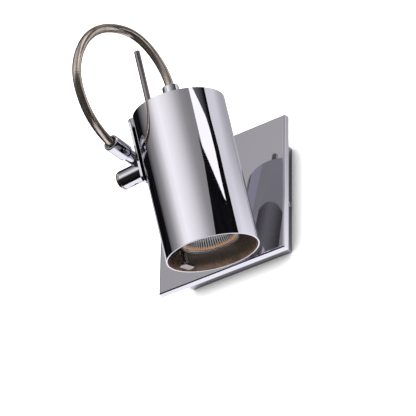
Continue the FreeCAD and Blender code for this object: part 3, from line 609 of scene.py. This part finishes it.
arm_ferrule = turned("arm_ferrule_turned", [(ARM_RADIUS, 0)] + ferrule_rim() +
                     [(FERRULE_WIRE, 10.0), (ARM_RADIUS, 10.0)], ring=True)
put(arm_ferrule, ARM @ towards((0, -1, 0), (0, ARM_FERRULE_FOOT, 0)))
soften(arm_ferrule, 0.22, 3)
grub_angle = math.radians(-49.0)
grub_out = Vector((math.cos(grub_angle), 0, math.sin(grub_angle)))
grub_start = grub_out * GRUB_REACH + Vector((0, ARM_FERRULE_FOOT - GRUB_ABOVE_FOOT, 0))
cut(arm_ferrule, grub_hole(GRUB_RADIUS, grub_start, grub_out, ARM))
smooth(arm_ferrule)
dress(arm_ferrule, "arm", chrome, "chrome", "arm_ferrule")

# %% [markdown]
# ## The knuckle
#
# The head hangs on a short turned barrel that is fixed under the arm. Its free end is closed by a
# rounded ring, and two set screws in its underside hold the pin that the head tilts on. The barrel is
# cut away where the arm lies in it.

# %% Knuckle
KNUCKLE_RADIUS, KNUCKLE_START, KNUCKLE_END, KNUCKLE_EDGE = 9.0, -7.4, 19.6, 0.5
PIN_BORE, PIN_DEPTH = 2.05, 15.2
KNUCKLE_Y, KNUCKLE_Z = -105.45, -8.0
FROM_HEAD = ARM @ towards((-1, 0, 0), (0, KNUCKLE_Y, KNUCKLE_Z))


def below(angle):
    """Out of the barrel, so many degrees from straight down towards the wall."""
    return Vector((0, math.sin(math.radians(angle)), -math.cos(math.radians(angle))))


knuckle_edge_radius = KNUCKLE_RADIUS - KNUCKLE_EDGE
knuckle = turned("knuckle_turned", [(PIN_BORE, PIN_DEPTH), (PIN_BORE, KNUCKLE_START),
                                    (knuckle_edge_radius, KNUCKLE_START),
                                    (KNUCKLE_RADIUS, KNUCKLE_START + KNUCKLE_EDGE),
                                    (KNUCKLE_RADIUS, KNUCKLE_END - KNUCKLE_EDGE),
                                    (knuckle_edge_radius, KNUCKLE_END)])
put(knuckle, FROM_HEAD)
soften(knuckle, 0.2, 2)
cut(knuckle, rod_cutter(ARM_RADIUS + 0.02, -20, 20, ARM @ towards((0, 1, 0), (0, KNUCKLE_Y, 0)), 96))
for radius, x, angle, reach in ((GRUB_RADIUS, -8.1, 21.0, 2.1), (SMALL_GRUB_RADIUS, -17.7, 47.0, 3.0)):
    out = below(angle)
    cut(knuckle, grub_hole(radius, Vector((x, KNUCKLE_Y, KNUCKLE_Z)) + out * reach, out, ARM))
smooth(knuckle)
dress(knuckle, "arm", chrome, "chrome", "knuckle")


def rounded(radius, start, end, fillet, steps=8):
    """Points of an outline that goes up the side and over a rounded shoulder."""
    arc = [math.radians(90 * i / steps) for i in range(steps + 1)]
    across_centre, along_centre = radius - fillet, end - fillet
    shoulder = [(across_centre + fillet * math.cos(a), along_centre + fillet * math.sin(a)) for a in arc]
    return [(radius, start)] + shoulder


knuckle_end = turned("knuckle_end_ring", [(knuckle_edge_radius, KNUCKLE_END)] +
                     rounded(KNUCKLE_RADIUS, KNUCKLE_END + KNUCKLE_EDGE, 23.5, 2.8))
put(knuckle_end, FROM_HEAD)
smooth(knuckle_end, 40)
dress(knuckle_end, "arm", worn_nickel, "chrome", "knuckle_cap")

# %% [markdown]
# ## The head
#
# The head is a thin chromed tube. Polished metal shows every facet, so the tube has many sides, and its
# lips are only broken, as on a cut tube. A disc closes its top a little below the lip. The conduit's
# ferrule, a guide for the rod and six vent holes are set in it.

# %% Tube
HEAD_RADIUS, HEAD_BORE, HEAD_LENGTH = 41.75, 40.35, 140.5
# The painted warm glow inside the tube near its lip: its height in mm and its strength.
LIT_LIP_HEIGHT, LIT_LIP_LEVEL = 6.5, 0.13


def head_axes(tree):
    """X, Y and Z in the head's frame, in metres."""
    place = add(tree, "ShaderNodeTexCoord").outputs["Object"]
    in_head = add(tree, "ShaderNodeMapping",
                  {"Vector": place, "Location": HEAD.translation, "Rotation": HEAD.to_euler()},
                  vector_type="TEXTURE")
    return add(tree, "ShaderNodeSeparateXYZ", {"Vector": in_head}).outputs


def lit_tube_wall():
    """The tube's unpolished inside: an uneven mirror whose brownish tone is a painted warm reflection of the lamp.
    A painted warm glow near its lip stands for the lamp's light on it.
    """
    material = plain_metal("unpolished_tube_wall_painted_glow", "#A8968A", (0.16, 0.3), 9.0, 0.03, 6.0, 0.7)
    tree = material.node_tree
    # Painted light: a warm glow that fades out within LIT_LIP_HEIGHT of the lip.
    painted_glow_near_lip = remap(tree, head_axes(tree)["Z"], (LIT_LIP_HEIGHT - HEAD_LENGTH) * MM, -HEAD_LENGTH * MM,
                     0.0, LIT_LIP_LEVEL)
    level = maths(tree, "MULTIPLY", painted_glow_near_lip, patches(tree, 7.0, 0.1, 1.0))
    shader = next(node for node in tree.nodes if node.type == "BSDF_PRINCIPLED")
    shader.inputs["Emission Color"].default_value = linear("#FFBE90")
    tree.links.new(level.outputs[0], shader.inputs["Emission Strength"])
    return material


head_tube = turned("head_tube_drawn", [(HEAD_BORE, -HEAD_LENGTH), (HEAD_RADIUS, -HEAD_LENGTH),
                                       (HEAD_RADIUS, 0), (HEAD_BORE, 0)], sides=288, ring=True)
complete(head_tube, HEAD, 0.25, 3, "head", chrome, "chrome", "head_tube")
head_tube.data.materials.append(lit_tube_wall())
into_head = HEAD.inverted()
for face in head_tube.data.polygons:
    face.material_index = int((into_head @ face.center).xy.length < (HEAD_BORE + 0.05) * MM)

# %% Cap with its vents
CAP_RADIUS, CAP_TOP, CAP_BOTTOM, FERRULE_X, ROD_X = 40.3, -0.4, -3.4, -3.4, -28.95
FERRULE_NECK, GUIDE_NECK = 4.9, 4.0
VENT_CIRCLE, VENT_RADIUS, VENT_ANGLES = 32.0, 2.5, (-55, -25, 5, 175, 205, 235)

head_cap = turned("head_cap_pressed", [(CAP_RADIUS, CAP_BOTTOM), (CAP_RADIUS, CAP_TOP)], sides=192)
holes = [(FERRULE_X, 0, FERRULE_NECK), (ROD_X, 0, GUIDE_NECK)]
for angle in VENT_ANGLES:
    turn = math.radians(angle)
    holes.append((VENT_CIRCLE * math.cos(turn), VENT_CIRCLE * math.sin(turn), VENT_RADIUS))
for x, y, radius in holes:
    cut(head_cap, rod_cutter(radius, -10, 10, Matrix.Translation((x * MM, y * MM, 0)), 48))
complete(head_cap, HEAD, 0.2, 2, "head", chrome, "chrome", "head_cap")

# %% Cap ferrule and its washer
FERRULE_BASE = 0.8
AT_FERRULE = HEAD @ Matrix.Translation((FERRULE_X * MM, 0, FERRULE_BASE * MM))

cap_ferrule = turned("cap_ferrule_turned", [(FERRULE_WIRE, -8.0), (FERRULE_NECK, -8.0), (FERRULE_NECK, 0)] +
                     ferrule_rim(), ring=True)
put(cap_ferrule, AT_FERRULE)
soften(cap_ferrule, 0.22, 3)
cap_out = Vector((math.cos(math.radians(60)), math.sin(math.radians(60)), 0))
cap_grub_start = cap_out * GRUB_REACH + Vector((0, 0, GRUB_ABOVE_FOOT))
cut(cap_ferrule, grub_hole(GRUB_RADIUS, cap_grub_start, cap_out, AT_FERRULE))
smooth(cap_ferrule)
dress(cap_ferrule, "head", chrome, "chrome", "cap_ferrule")

washer = turned("cap_ferrule_washer", [(FERRULE_NECK, -1.2), (8.4, -1.2), (8.4, 0), (FERRULE_NECK, 0)],
                ring=True)
complete(washer, AT_FERRULE, 0.25, 3, "head", chrome, "chrome", "cap_ferrule_base")

# %% Bracket on the tube's side
BRACKET_OUTER, BRACKET_INNER, BRACKET_TOP, BRACKET_BOTTOM, BRACKET_WIDTH = -44.4, -41.9, 6.5, -57.0, 33.6
BRACKET_CORNER = 6.0
SCREW_DEPTHS, SCREW_HEAD_RADIUS, SCREW_HEAD_DEPTH = (10.0, 51.0), 3.95, 1.9
BRACKET_HOLE_RADIUS, RIGHT_THROUGH = 2.0, 9.0


def round_corners(piece, axis, radius, segments):
    """Rounds the four edges of a block that run along an axis: 0, 1 or 2 for X, Y or Z."""
    activate(piece)
    bpy.ops.object.mode_set(mode="EDIT")
    pick("EDGE", lambda edge: abs(edge.verts[0].co[axis] - edge.verts[1].co[axis]) > 0.001)
    bpy.ops.mesh.bevel(offset=radius * MM, segments=segments, affect="EDGES")
    bpy.ops.object.mode_set(mode="OBJECT")


bracket = block("bracket_plate_cut", (BRACKET_OUTER, -BRACKET_WIDTH / 2, BRACKET_BOTTOM),
                (BRACKET_INNER, BRACKET_WIDTH / 2, BRACKET_TOP))
round_corners(bracket, 0, BRACKET_CORNER, 10)
bracket_holes = [(depth, SCREW_HEAD_RADIUS, SCREW_HEAD_DEPTH) for depth in SCREW_DEPTHS]
bracket_holes += [(depth, BRACKET_HOLE_RADIUS, RIGHT_THROUGH)
                  for depth in (*SCREW_DEPTHS, CAP_ABOVE_TILT_AXIS)]
for depth, radius, reach in bracket_holes:
    cut(bracket, rod_cutter(radius, -2, reach, towards((1, 0, 0), (BRACKET_OUTER, 0, -depth)), 48))
complete(bracket, HEAD, 0.35, 3, "head", chrome, "chrome", "bracket_plate")

# %% [markdown]
# ## The rod and its guide
#
# A thin rod slides through the cap and carries the lamp up and down. A small screw in the guide holds it.
# At its lower end a flat foot is riveted on, by which it is pulled.

# %% Rod, guide and foot
AT_ROD = HEAD @ Matrix.Translation((ROD_X * MM, 0, 0))
ROD_RADIUS, ROD_BOTTOM, ROD_TOP, ROD_CHAMFER = 2.75, -142.2, 69.9, 0.5

rod = turned("rod_ground", [(ROD_RADIUS, ROD_BOTTOM), (ROD_RADIUS, ROD_TOP - ROD_CHAMFER),
                            (ROD_RADIUS - ROD_CHAMFER, ROD_TOP)], sides=64)
complete(rod, AT_ROD, 0.15, 2, "carriage", ground_steel, "chrome", "rod")

guide = turned("rod_guide_turned", [(2.8, -8.4), (GUIDE_NECK, -8.4), (GUIDE_NECK, CAP_TOP), (4.6, CAP_TOP),
                                    (4.6, 5.1), (4.1, 5.6), (2.8, 5.6)], sides=64, ring=True)
put(guide, AT_ROD)
soften(guide, 0.15, 2)
cut(guide, grub_hole(SMALL_GRUB_RADIUS, (-2.85, 0, 2.6), (-1, 0, 0), AT_ROD))
smooth(guide)
dress(guide, "head", chrome, "chrome", "rod_guide")

FOOT_LENGTH, FOOT_WIDTH, FOOT_TOP, FOOT_THICKNESS, FOOT_CORNER = 16.4, 7.0, -140.0, 2.2, 3.39
foot = block("rod_foot_cut", (-FOOT_WIDTH / 2, -FOOT_LENGTH / 2, FOOT_TOP - FOOT_THICKNESS),
             (FOOT_WIDTH / 2, FOOT_LENGTH / 2, FOOT_TOP))
round_corners(foot, 2, FOOT_CORNER, 12)
cut(foot, rod_cutter(ROD_RADIUS + 0.01, -150, -130, IN_PLACE, 64))
complete(foot, AT_ROD, 0.3, 3, "carriage", ground_steel, "chrome", "rod_foot")

# %% [markdown]
# ## The lamp
#
# A reflector lamp sits in a ring that the rod carries. A pressed glass shell has a fluted, mirrored
# inside, which spreads the light of the small capsule on its axis. It is lit: the mirror coating sends
# the light forward and lets some warm light through.

# %% Ring
RING_FRONT, RING_BACK = -129.5, -121.5

ring = turned("lamp_ring_turned", [(25.15, RING_FRONT), (26.1, RING_FRONT), (26.1, RING_BACK),
                                   (23.6, RING_BACK), (23.6, -122.7), (25.15, -122.7)], sides=144, ring=True)
complete(ring, HEAD, 0.35, 3, "carriage", satin_nickel, "nickel_ring", "lamp_ring")

hub = turned("lamp_ring_hub", [(ROD_RADIUS, -128.5), (4.9, -128.5), (4.9, RING_BACK), (ROD_RADIUS, RING_BACK)],
             sides=64, ring=True)
complete(hub, AT_ROD, 0.3, 2, "carriage", satin_nickel, "nickel_ring", "lamp_ring")

# %% Fluted reflector
FLUTES = 64
FLUTE_DEPTH_SCALE = 0.97
LAMP_FRONT, LAMP_RIM, LAMP_NECK = -127.0, -122.9, -94.0
OUTSIDE = [(24.9, LAMP_FRONT), (24.9, LAMP_RIM), (23.2, LAMP_RIM), (21.0, -114.2), (16.0, -104.1),
           (11.0, -96.3), (9.0, LAMP_NECK)]
INSIDE = [(5.2, -95.4), (9.7, -97.2), (14.7, -104.9), (19.7, -115.0), (21.9, -123.8), (22.3, -125.4),
          (23.5, -125.4), (23.5, LAMP_FRONT)]

reflector = turned("lamp_reflector_pressed", OUTSIDE + INSIDE, sides=FLUTES * 6, ring=True)
activate(reflector)
bpy.ops.object.mode_set(mode="EDIT")


def on_flute_ridge(vertex):
    """True on the inner wall's vertices that lie on the ridge between two flutes."""
    radius = vertex.co.xy.length / MM
    turn = (math.atan2(vertex.co.y, vertex.co.x) / (2 * math.pi) * FLUTES) % 1.0
    inner = any(abs(radius - r) < 0.05 and abs(vertex.co.z / MM - z) < 0.05 for r, z in INSIDE[1:5])
    return inner and min(turn, 1 - turn) < 0.1


pick("VERT", on_flute_ridge)
bpy.ops.transform.resize(value=(FLUTE_DEPTH_SCALE, FLUTE_DEPTH_SCALE, 1), center_override=(0, 0, 0))
bpy.ops.object.mode_set(mode="OBJECT")
put(reflector, HEAD)
smooth(reflector, 12)

# %% Lit glass
def lit_reflector():
    """Mirror-coated glass, lit from inside: painted light and dark stripes on the flutes stand for their
    reflections, with a painted cool glow off the flutes and a warm one through the rim.
    """
    material, tree = new_material("lit_dichroic_reflector")
    axes = head_axes(tree)
    turn = maths(tree, "ARCTAN2", axes["Y"], axes["X"])
    wave = maths(tree, "MULTIPLY", turn, FLUTES)
    flute = maths(tree, "COSINE", wave)
    # Painted reflection: the base colour turns light and dark from flute to flute.
    share = remap(tree, flute, -0.5, 0.4)
    tone = add(tree, "ShaderNodeMix", {"Factor": share, "A": linear("#D8D8E0"), "B": linear("#100C0A")},
               data_type="RGBA")
    # Painted glow: warm at the rim, the stripes' tone elsewhere.
    depth = remap(tree, axes["Z"], -0.1262, -0.1250)
    glow = add(tree, "ShaderNodeMix", {"Factor": depth, "A": linear("#FFB878"), "B": tone.outputs["Result"]},
               data_type="RGBA")
    level = remap(tree, depth, to_low=0.4, to_high=0.3)
    shader = add(tree, "ShaderNodeBsdfPrincipled", {
        "Base Color": tone.outputs["Result"], "Metallic": 0.8, "Roughness": 0.2,
        "Emission Color": glow.outputs["Result"], "Emission Strength": level})
    add(tree, "ShaderNodeOutputMaterial", {"Surface": shader})
    return material


def glowing(name, colour, strength, grain):
    """A white-hot part: its brightness drifts a little, as the filament behind the glass does."""
    material, tree = new_material(name)
    shader = add(tree, "ShaderNodeEmission",
                 {"Color": linear(colour), "Strength": patches(tree, grain, 0.8 * strength, strength)})
    add(tree, "ShaderNodeOutputMaterial", {"Surface": shader})
    return material


dress(reflector, "carriage", lit_reflector(), "lamp_reflector", "lamp_reflector")
capsule_glow = glowing("lit_quartz_capsule", "#FFCFA0", 3.0, 3.0)


def clear_glass():
    """Clear pressed glass, so thin that what is behind it hardly shifts. A faint gloss lies over it."""
    material, tree = new_material("clear_pressed_glass")
    gloss = add(tree, "ShaderNodeBsdfAnisotropic",
                {"Color": linear("#FFFFFF"), "Roughness": patches(tree, 5.0, 0.02, 0.06)})
    clear = add(tree, "ShaderNodeBsdfTransparent", {"Color": linear("#F6F8F8")})
    shader = add(tree, "ShaderNodeMixShader", {0: patches(tree, 8.0, 0.05, 0.09), 1: clear, 2: gloss})
    add(tree, "ShaderNodeOutputMaterial", {"Surface": shader})
    return material


glass_finish = clear_glass()

# %% [markdown]
# ## Finishes on the small solids
#
# Screws, nuts, pins and the ceramic pieces keep the shapes of the solids and take a finish each. Their
# record names a slot for every solid, and the table below gives the finish for each slot.

# %% Finishes by slot
FINISH_OF_SLOT = {
    "chrome": chrome,
    "zinc_steel": zinc,
    "black_steel": black_oxide,
    "nickel_ring": satin_nickel,
    "lamp_reflector": satin_nickel,
    "lamp_glass": glass_finish,
    "ceramic": steatite,
    "terminal_plastic": polyamide,
    "rubber": rubber,
    "conduit": zinc,
}
slot_of = {part["node"]: part["material_slot"] for part in frame["record"]["subparts"]}
for name, node in nodes.items():
    finish = FINISH_OF_SLOT[slot_of[name]]
    if name == "lamp_burner":
        finish = capsule_glow
    node.data.materials.clear()
    node.data.materials.append(finish)
print("solids by slot", {slot: list(slot_of.values()).count(slot) for slot in FINISH_OF_SLOT})

# %% [markdown]
# ## Wall, studio and light
#
# The lamp hangs on a white wall. Chrome shows the studio rather than itself: the broad bright fields are
# soft boxes and the black bands are dark cards beside the object. The world's pattern stands for the
# far studio, as a function of direction, and two cards close to the head give the edges of its bands.
#
# The wall needs two tones. The camera sees it as plain white, with a painted shade where the object stands close
# to it.
# The chrome shows it greyer, in painted tones that were fitted to the photograph's chrome.

# %% Wall
# Painted shade in the wall's corners beside the object, for the camera and in the metal:
# reach in metres, and the open share of the sky that counts as darkest, with the brightness left there.
PAINTED_CORNER_SHADE_FOR_CAMERA = (0.022, 0.5, 0.25)
PAINTED_CORNER_SHADE_IN_METAL = (0.026, 0.55, 0.05)
# Painted shade and light on the wall as the metal sees it: its centre and distances in metres, its tones, and the
# dimming in a second reflection.
SHADED_PLACE, SHADED_FROM, SHADED_TO = (0.01, 0.0, 0.13), 0.05, 0.24
WALL_SHADED, WALL_BRIGHT_LOW, WALL_BRIGHT_HIGH = 0.405, 0.991, 0.714
SECOND_REFLECTION = 0.5


def painted_wall_tone_in_metal(tree, place):
    """The wall's painted brightness in the metal: painted light below and to the right of the lamp, painted shade
    around it and above.
    """
    from_lamp = add(tree, "ShaderNodeVectorMath", {0: place, 1: SHADED_PLACE}, operation="DISTANCE")
    around = remap(tree, from_lamp.outputs["Value"], SHADED_FROM, SHADED_TO,
                   interpolation_type="SMOOTHSTEP")
    down = add(tree, "ShaderNodeVectorMath", {0: place, 1: (0.6, 0.0, -0.8)}, operation="DOT_PRODUCT")
    below_lamp = remap(tree, down.outputs["Value"], -0.25, -0.05, interpolation_type="SMOOTHSTEP")
    share = maths(tree, "MULTIPLY", around, below_lamp)
    height = add(tree, "ShaderNodeSeparateXYZ", {"Vector": place}).outputs["Z"]
    bright = remap(tree, height, -0.06, 0.11, WALL_BRIGHT_LOW, WALL_BRIGHT_HIGH)
    return remap(tree, share, to_low=WALL_SHADED, to_high=bright)


def white_wall():
    """Matt white paint, with a fine grain, and a painted shade that darkens it where the object stands close to
    it.

    Camera rays alone also see it glow at a strength of 1, lowered by that painted shade, which makes it plain
    white in the picture.
    Glossy rays see a painted tone instead: cooler, with painted shade around the lamp, and dimmer once more in a
    second reflection.
    """
    material, tree = new_material("matt_white_wall")
    place = add(tree, "ShaderNodeTexCoord").outputs["Object"]
    path = add(tree, "ShaderNodeLightPath").outputs
    grain = patches(tree, 2.0, 0.985, 1.0, 3.0)
    shades = []
    # Painted shade: the wall darkens where the object hides part of the sky from it.
    for reach, low, deepest in (PAINTED_CORNER_SHADE_FOR_CAMERA, PAINTED_CORNER_SHADE_IN_METAL):
        corner = add(tree, "ShaderNodeAmbientOcclusion", {"Distance": reach}, samples=8)
        depth = remap(tree, corner.outputs["AO"], low, 0.95, deepest, 1.0)
        shades.append(maths(tree, "MULTIPLY", depth, grain))
    # The diffuse colour carries the painted shade.
    lit = add(tree, "ShaderNodeMix", {"Factor": 1.0, "A": linear("#EDEDED"), "B": shades[0]},
              data_type="RGBA", blend_type="MULTIPLY")
    white_glow_with_painted_shade = maths(tree, "MULTIPLY", shades[0], path["Is Camera Ray"])
    paint = add(tree, "ShaderNodeAddShader", {
        0: add(tree, "ShaderNodeBsdfDiffuse", {"Color": lit.outputs["Result"]}),
        1: add(tree, "ShaderNodeEmission", {"Color": linear("#FFFFFF"), "Strength": white_glow_with_painted_shade})})
    again = remap(tree, path["Ray Depth"], 1.0, 2.0, 1.0, SECOND_REFLECTION)
    level = maths(tree, "MULTIPLY", shades[1], again)
    level = maths(tree, "MULTIPLY", level, painted_wall_tone_in_metal(tree, place))
    # Glossy rays see the wall as a painted tone: painted corner shade, painted light and shade around the lamp,
    # dimmer in a second reflection.
    in_metal = add(tree, "ShaderNodeEmission", {"Color": linear("#F8F8FF"), "Strength": level})
    front = add(tree, "ShaderNodeMixShader", {0: path["Is Glossy Ray"], 1: paint, 2: in_metal})
    from_behind = add(tree, "ShaderNodeNewGeometry").outputs["Backfacing"]
    clear = add(tree, "ShaderNodeBsdfTransparent")
    both = add(tree, "ShaderNodeMixShader", {0: from_behind, 1: front, 2: clear})
    add(tree, "ShaderNodeOutputMaterial", {"Surface": both})
    return material


deselect()
bpy.ops.mesh.primitive_plane_add(size=6.0, location=(0, 0.0, 0), rotation=(math.pi / 2, 0, 0))
wall = bpy.context.object
wall.name = "wall"
bpy.ops.object.transform_apply(location=True, rotation=True, scale=True)
wall.data.materials.append(white_wall())
print("wall's size in m", [round(side, 2) for side in wall.dimensions])

# %% Studio seen by the metal
# Both tables give (degrees, brightness), and the far studio is their product.
BRIGHTNESS_BY_AZIMUTH = [
    (-180, 0.30), (-95, 0.02), (-84, 0.02), (-75, 0.08), (-65, 0.19), (-55, 0.26), (-47, 0.42), (-38, 0.62),
    (-29, 0.88), (-17, 1.00), (-5, 0.90), (5, 0.80), (16, 0.65), (27, 0.45), (38, 0.31), (48, 0.28), (60, 0.30),
    (95, 0.40), (180, 0.30),
]
BRIGHTNESS_BY_ELEVATION = [
    (-90, 0.03), (-24, 0.015), (-15, 0.08), (-9, 0.42), (-3, 0.80), (2, 1.00), (9, 1.00), (15, 0.90),
    (23, 0.66), (33, 0.60), (44, 0.46), (54, 0.22), (61, 0.13), (70, 0.13), (76, 0.50), (90, 0.55),
]
# The soft box on the right, in degrees. Its left edge leans over above SLANT_ABOVE.
SOFT_BOX_LEVEL = 1.1
SOFT_BOX_LEFT, SOFT_BOX_RIGHT, SOFT_BOX_BOTTOM, SOFT_BOX_TOP = 60, 100, -4, 60
SLANT_ABOVE, SLANT = 20, 1.2
FILL_LEVEL = 0.66


def studio():
    """A world that depends on direction: the metal sees its soft boxes, and the rest gets an even light."""
    world = bpy.data.worlds.new("studio")
    bpy.context.scene.world = world
    world.use_nodes = True
    tree = world.node_tree
    tree.nodes.clear()
    direction = add(tree, "ShaderNodeTexCoord").outputs["Generated"]
    axes = add(tree, "ShaderNodeSeparateXYZ", {"Vector": direction}).outputs
    forward = maths(tree, "MULTIPLY", axes["Y"], -1.0)
    azimuth = maths(tree, "ARCTAN2", axes["X"], forward)
    elevation = maths(tree, "ARCSINE", axes["Z"])
    level = 1.0
    for angle, table in ((azimuth, BRIGHTNESS_BY_AZIMUTH), (elevation, BRIGHTNESS_BY_ELEVATION)):
        (start, first), (end, last) = table[0], table[-1]
        share = remap(tree, angle, math.radians(start), math.radians(end))
        ramp = add(tree, "ShaderNodeValToRGB", {"Fac": share})
        stops = ramp.color_ramp.elements
        stops[0].color, stops[-1].color = (first, first, first, 1), (last, last, last, 1)
        for degrees, brightness in table[1:-1]:
            stops.new((degrees - start) / (end - start)).color = (brightness, brightness, brightness, 1)
        level = maths(tree, "MULTIPLY", level, ramp)
    rise = maths(tree, "SUBTRACT", elevation, math.radians(SLANT_ABOVE))
    rise = maths(tree, "MAXIMUM", rise, 0.0)
    slanted = maths(tree, "MULTIPLY_ADD", rise, SLANT, azimuth)
    soft_box = SOFT_BOX_LEVEL
    for angle, operation, limit in (
            (slanted, "GREATER_THAN", SOFT_BOX_LEFT), (azimuth, "LESS_THAN", SOFT_BOX_RIGHT),
            (elevation, "GREATER_THAN", SOFT_BOX_BOTTOM), (elevation, "LESS_THAN", SOFT_BOX_TOP)):
        inside = maths(tree, operation, angle, math.radians(limit))
        soft_box = maths(tree, "MULTIPLY", soft_box, inside)
    level = maths(tree, "MAXIMUM", level, soft_box)
    path = add(tree, "ShaderNodeLightPath").outputs
    seen = add(tree, "ShaderNodeBackground", {"Color": linear("#FBFAFD"), "Strength": level})
    fill = add(tree, "ShaderNodeBackground", {"Color": linear("#FCFBFA"), "Strength": FILL_LEVEL})
    plain = add(tree, "ShaderNodeBackground", {"Color": linear("#FFFFFF"), "Strength": 1.0})
    mirror = add(tree, "ShaderNodeMixShader", {0: path["Is Glossy Ray"], 1: fill, 2: seen})
    straight = maths(tree, "MAXIMUM", path["Is Camera Ray"], path["Is Transmission Ray"])
    whole = add(tree, "ShaderNodeMixShader", {0: straight, 1: mirror, 2: plain})
    add(tree, "ShaderNodeOutputWorld", {"Surface": whole})
    print("studio", len(BRIGHTNESS_BY_AZIMUTH), "stops round,", len(BRIGHTNESS_BY_ELEVATION), "stops up")


studio()

# %% Dark cards beside the head
# The right card's edges follow the camera's lines off the head to the card's plane.
RIGHT_CARD_X, LEFT_CARD_X = 300, -260
RIGHT_CARD = [
    (-295, 68), (-301, 96), (-258, 85), (-188, 68), (-134, 56), (-118, 58), (-122, 80), (-121, 115),
    (-130, 136), (-143, 145), (-178, 150), (-212, 154), (-250, 160), (-300, 172), (-300, 600), (-85, 600),
    (-85, 165), (-66, 140), (-64, 110), (-50, 47), (-25, -100), (-25, -500), (-420, -500), (-420, -110),
    (-361, -8), (-335, 14), (-314, 41),
]
LEFT_CARD = [(-190, -500), (-190, 600), (60, 600), (60, -500)]


def dark_card(name, x, outline, top_level, again_level):
    """A black cloth card on a plane across X, seen by the metal alone. Its outline is in mm, as (y, z).

    top_level is the light on its upper outer part, and again_level its light in a second reflection.
    """
    mesh = bmesh.new()
    mesh.faces.new([mesh.verts.new((x * MM, y * MM, z * MM)) for y, z in outline])
    data = bpy.data.meshes.new(name)
    mesh.to_mesh(data)
    mesh.free()
    card = bpy.data.objects.new(name, data)
    bpy.context.scene.collection.objects.link(card)
    material, tree = new_material(name + "_cloth")
    place = add(tree, "ShaderNodeTexCoord").outputs["Object"]
    axes = add(tree, "ShaderNodeSeparateXYZ", {"Vector": place}).outputs
    outer = remap(tree, axes["Y"], -0.11, -0.19, 0.0, top_level)
    upper = remap(tree, axes["Z"], 0.13, 0.15)
    lit_top = maths(tree, "MULTIPLY", outer, upper)
    depth = add(tree, "ShaderNodeLightPath").outputs["Ray Depth"]
    again = remap(tree, depth, 1.0, 2.0, 0.0, again_level)
    level = maths(tree, "ADD", lit_top, again)
    level = maths(tree, "ADD", level, patches(tree, 30.0, 0.006, 0.014))
    shader = add(tree, "ShaderNodeEmission", {"Color": linear("#B6B6C4"), "Strength": level})
    add(tree, "ShaderNodeOutputMaterial", {"Surface": shader})
    data.materials.append(material)
    card.visible_camera = False
    card.visible_diffuse = False
    card.visible_shadow = False
    card.visible_transmission = False
    print(name, len(outline), "corners")


dark_card("right_card", RIGHT_CARD_X, RIGHT_CARD, top_level=0.2, again_level=0.0)
dark_card("left_card", LEFT_CARD_X, LEFT_CARD, top_level=0.0, again_level=0.5)

# %% Soft light from the upper left
KEY_PLACE, KEY_SIZE, KEY_POWER = (-0.95, -1.9, 1.15), 1.6, 27

deselect()
bpy.ops.object.light_add(type="AREA", location=KEY_PLACE)
key = bpy.context.object
key.name = "soft_box"
key.data.shape = "SQUARE"
key.data.size = KEY_SIZE
key.data.energy = KEY_POWER
key.rotation_euler = (-key.location).to_track_quat("-Z", "Y").to_euler()
key.visible_glossy = False
print("soft light", KEY_SIZE, "m wide,", KEY_POWER, "W")

# %% Colour view
bpy.context.scene.view_settings.view_transform = "Standard"
print("view", bpy.context.scene.view_settings.view_transform)
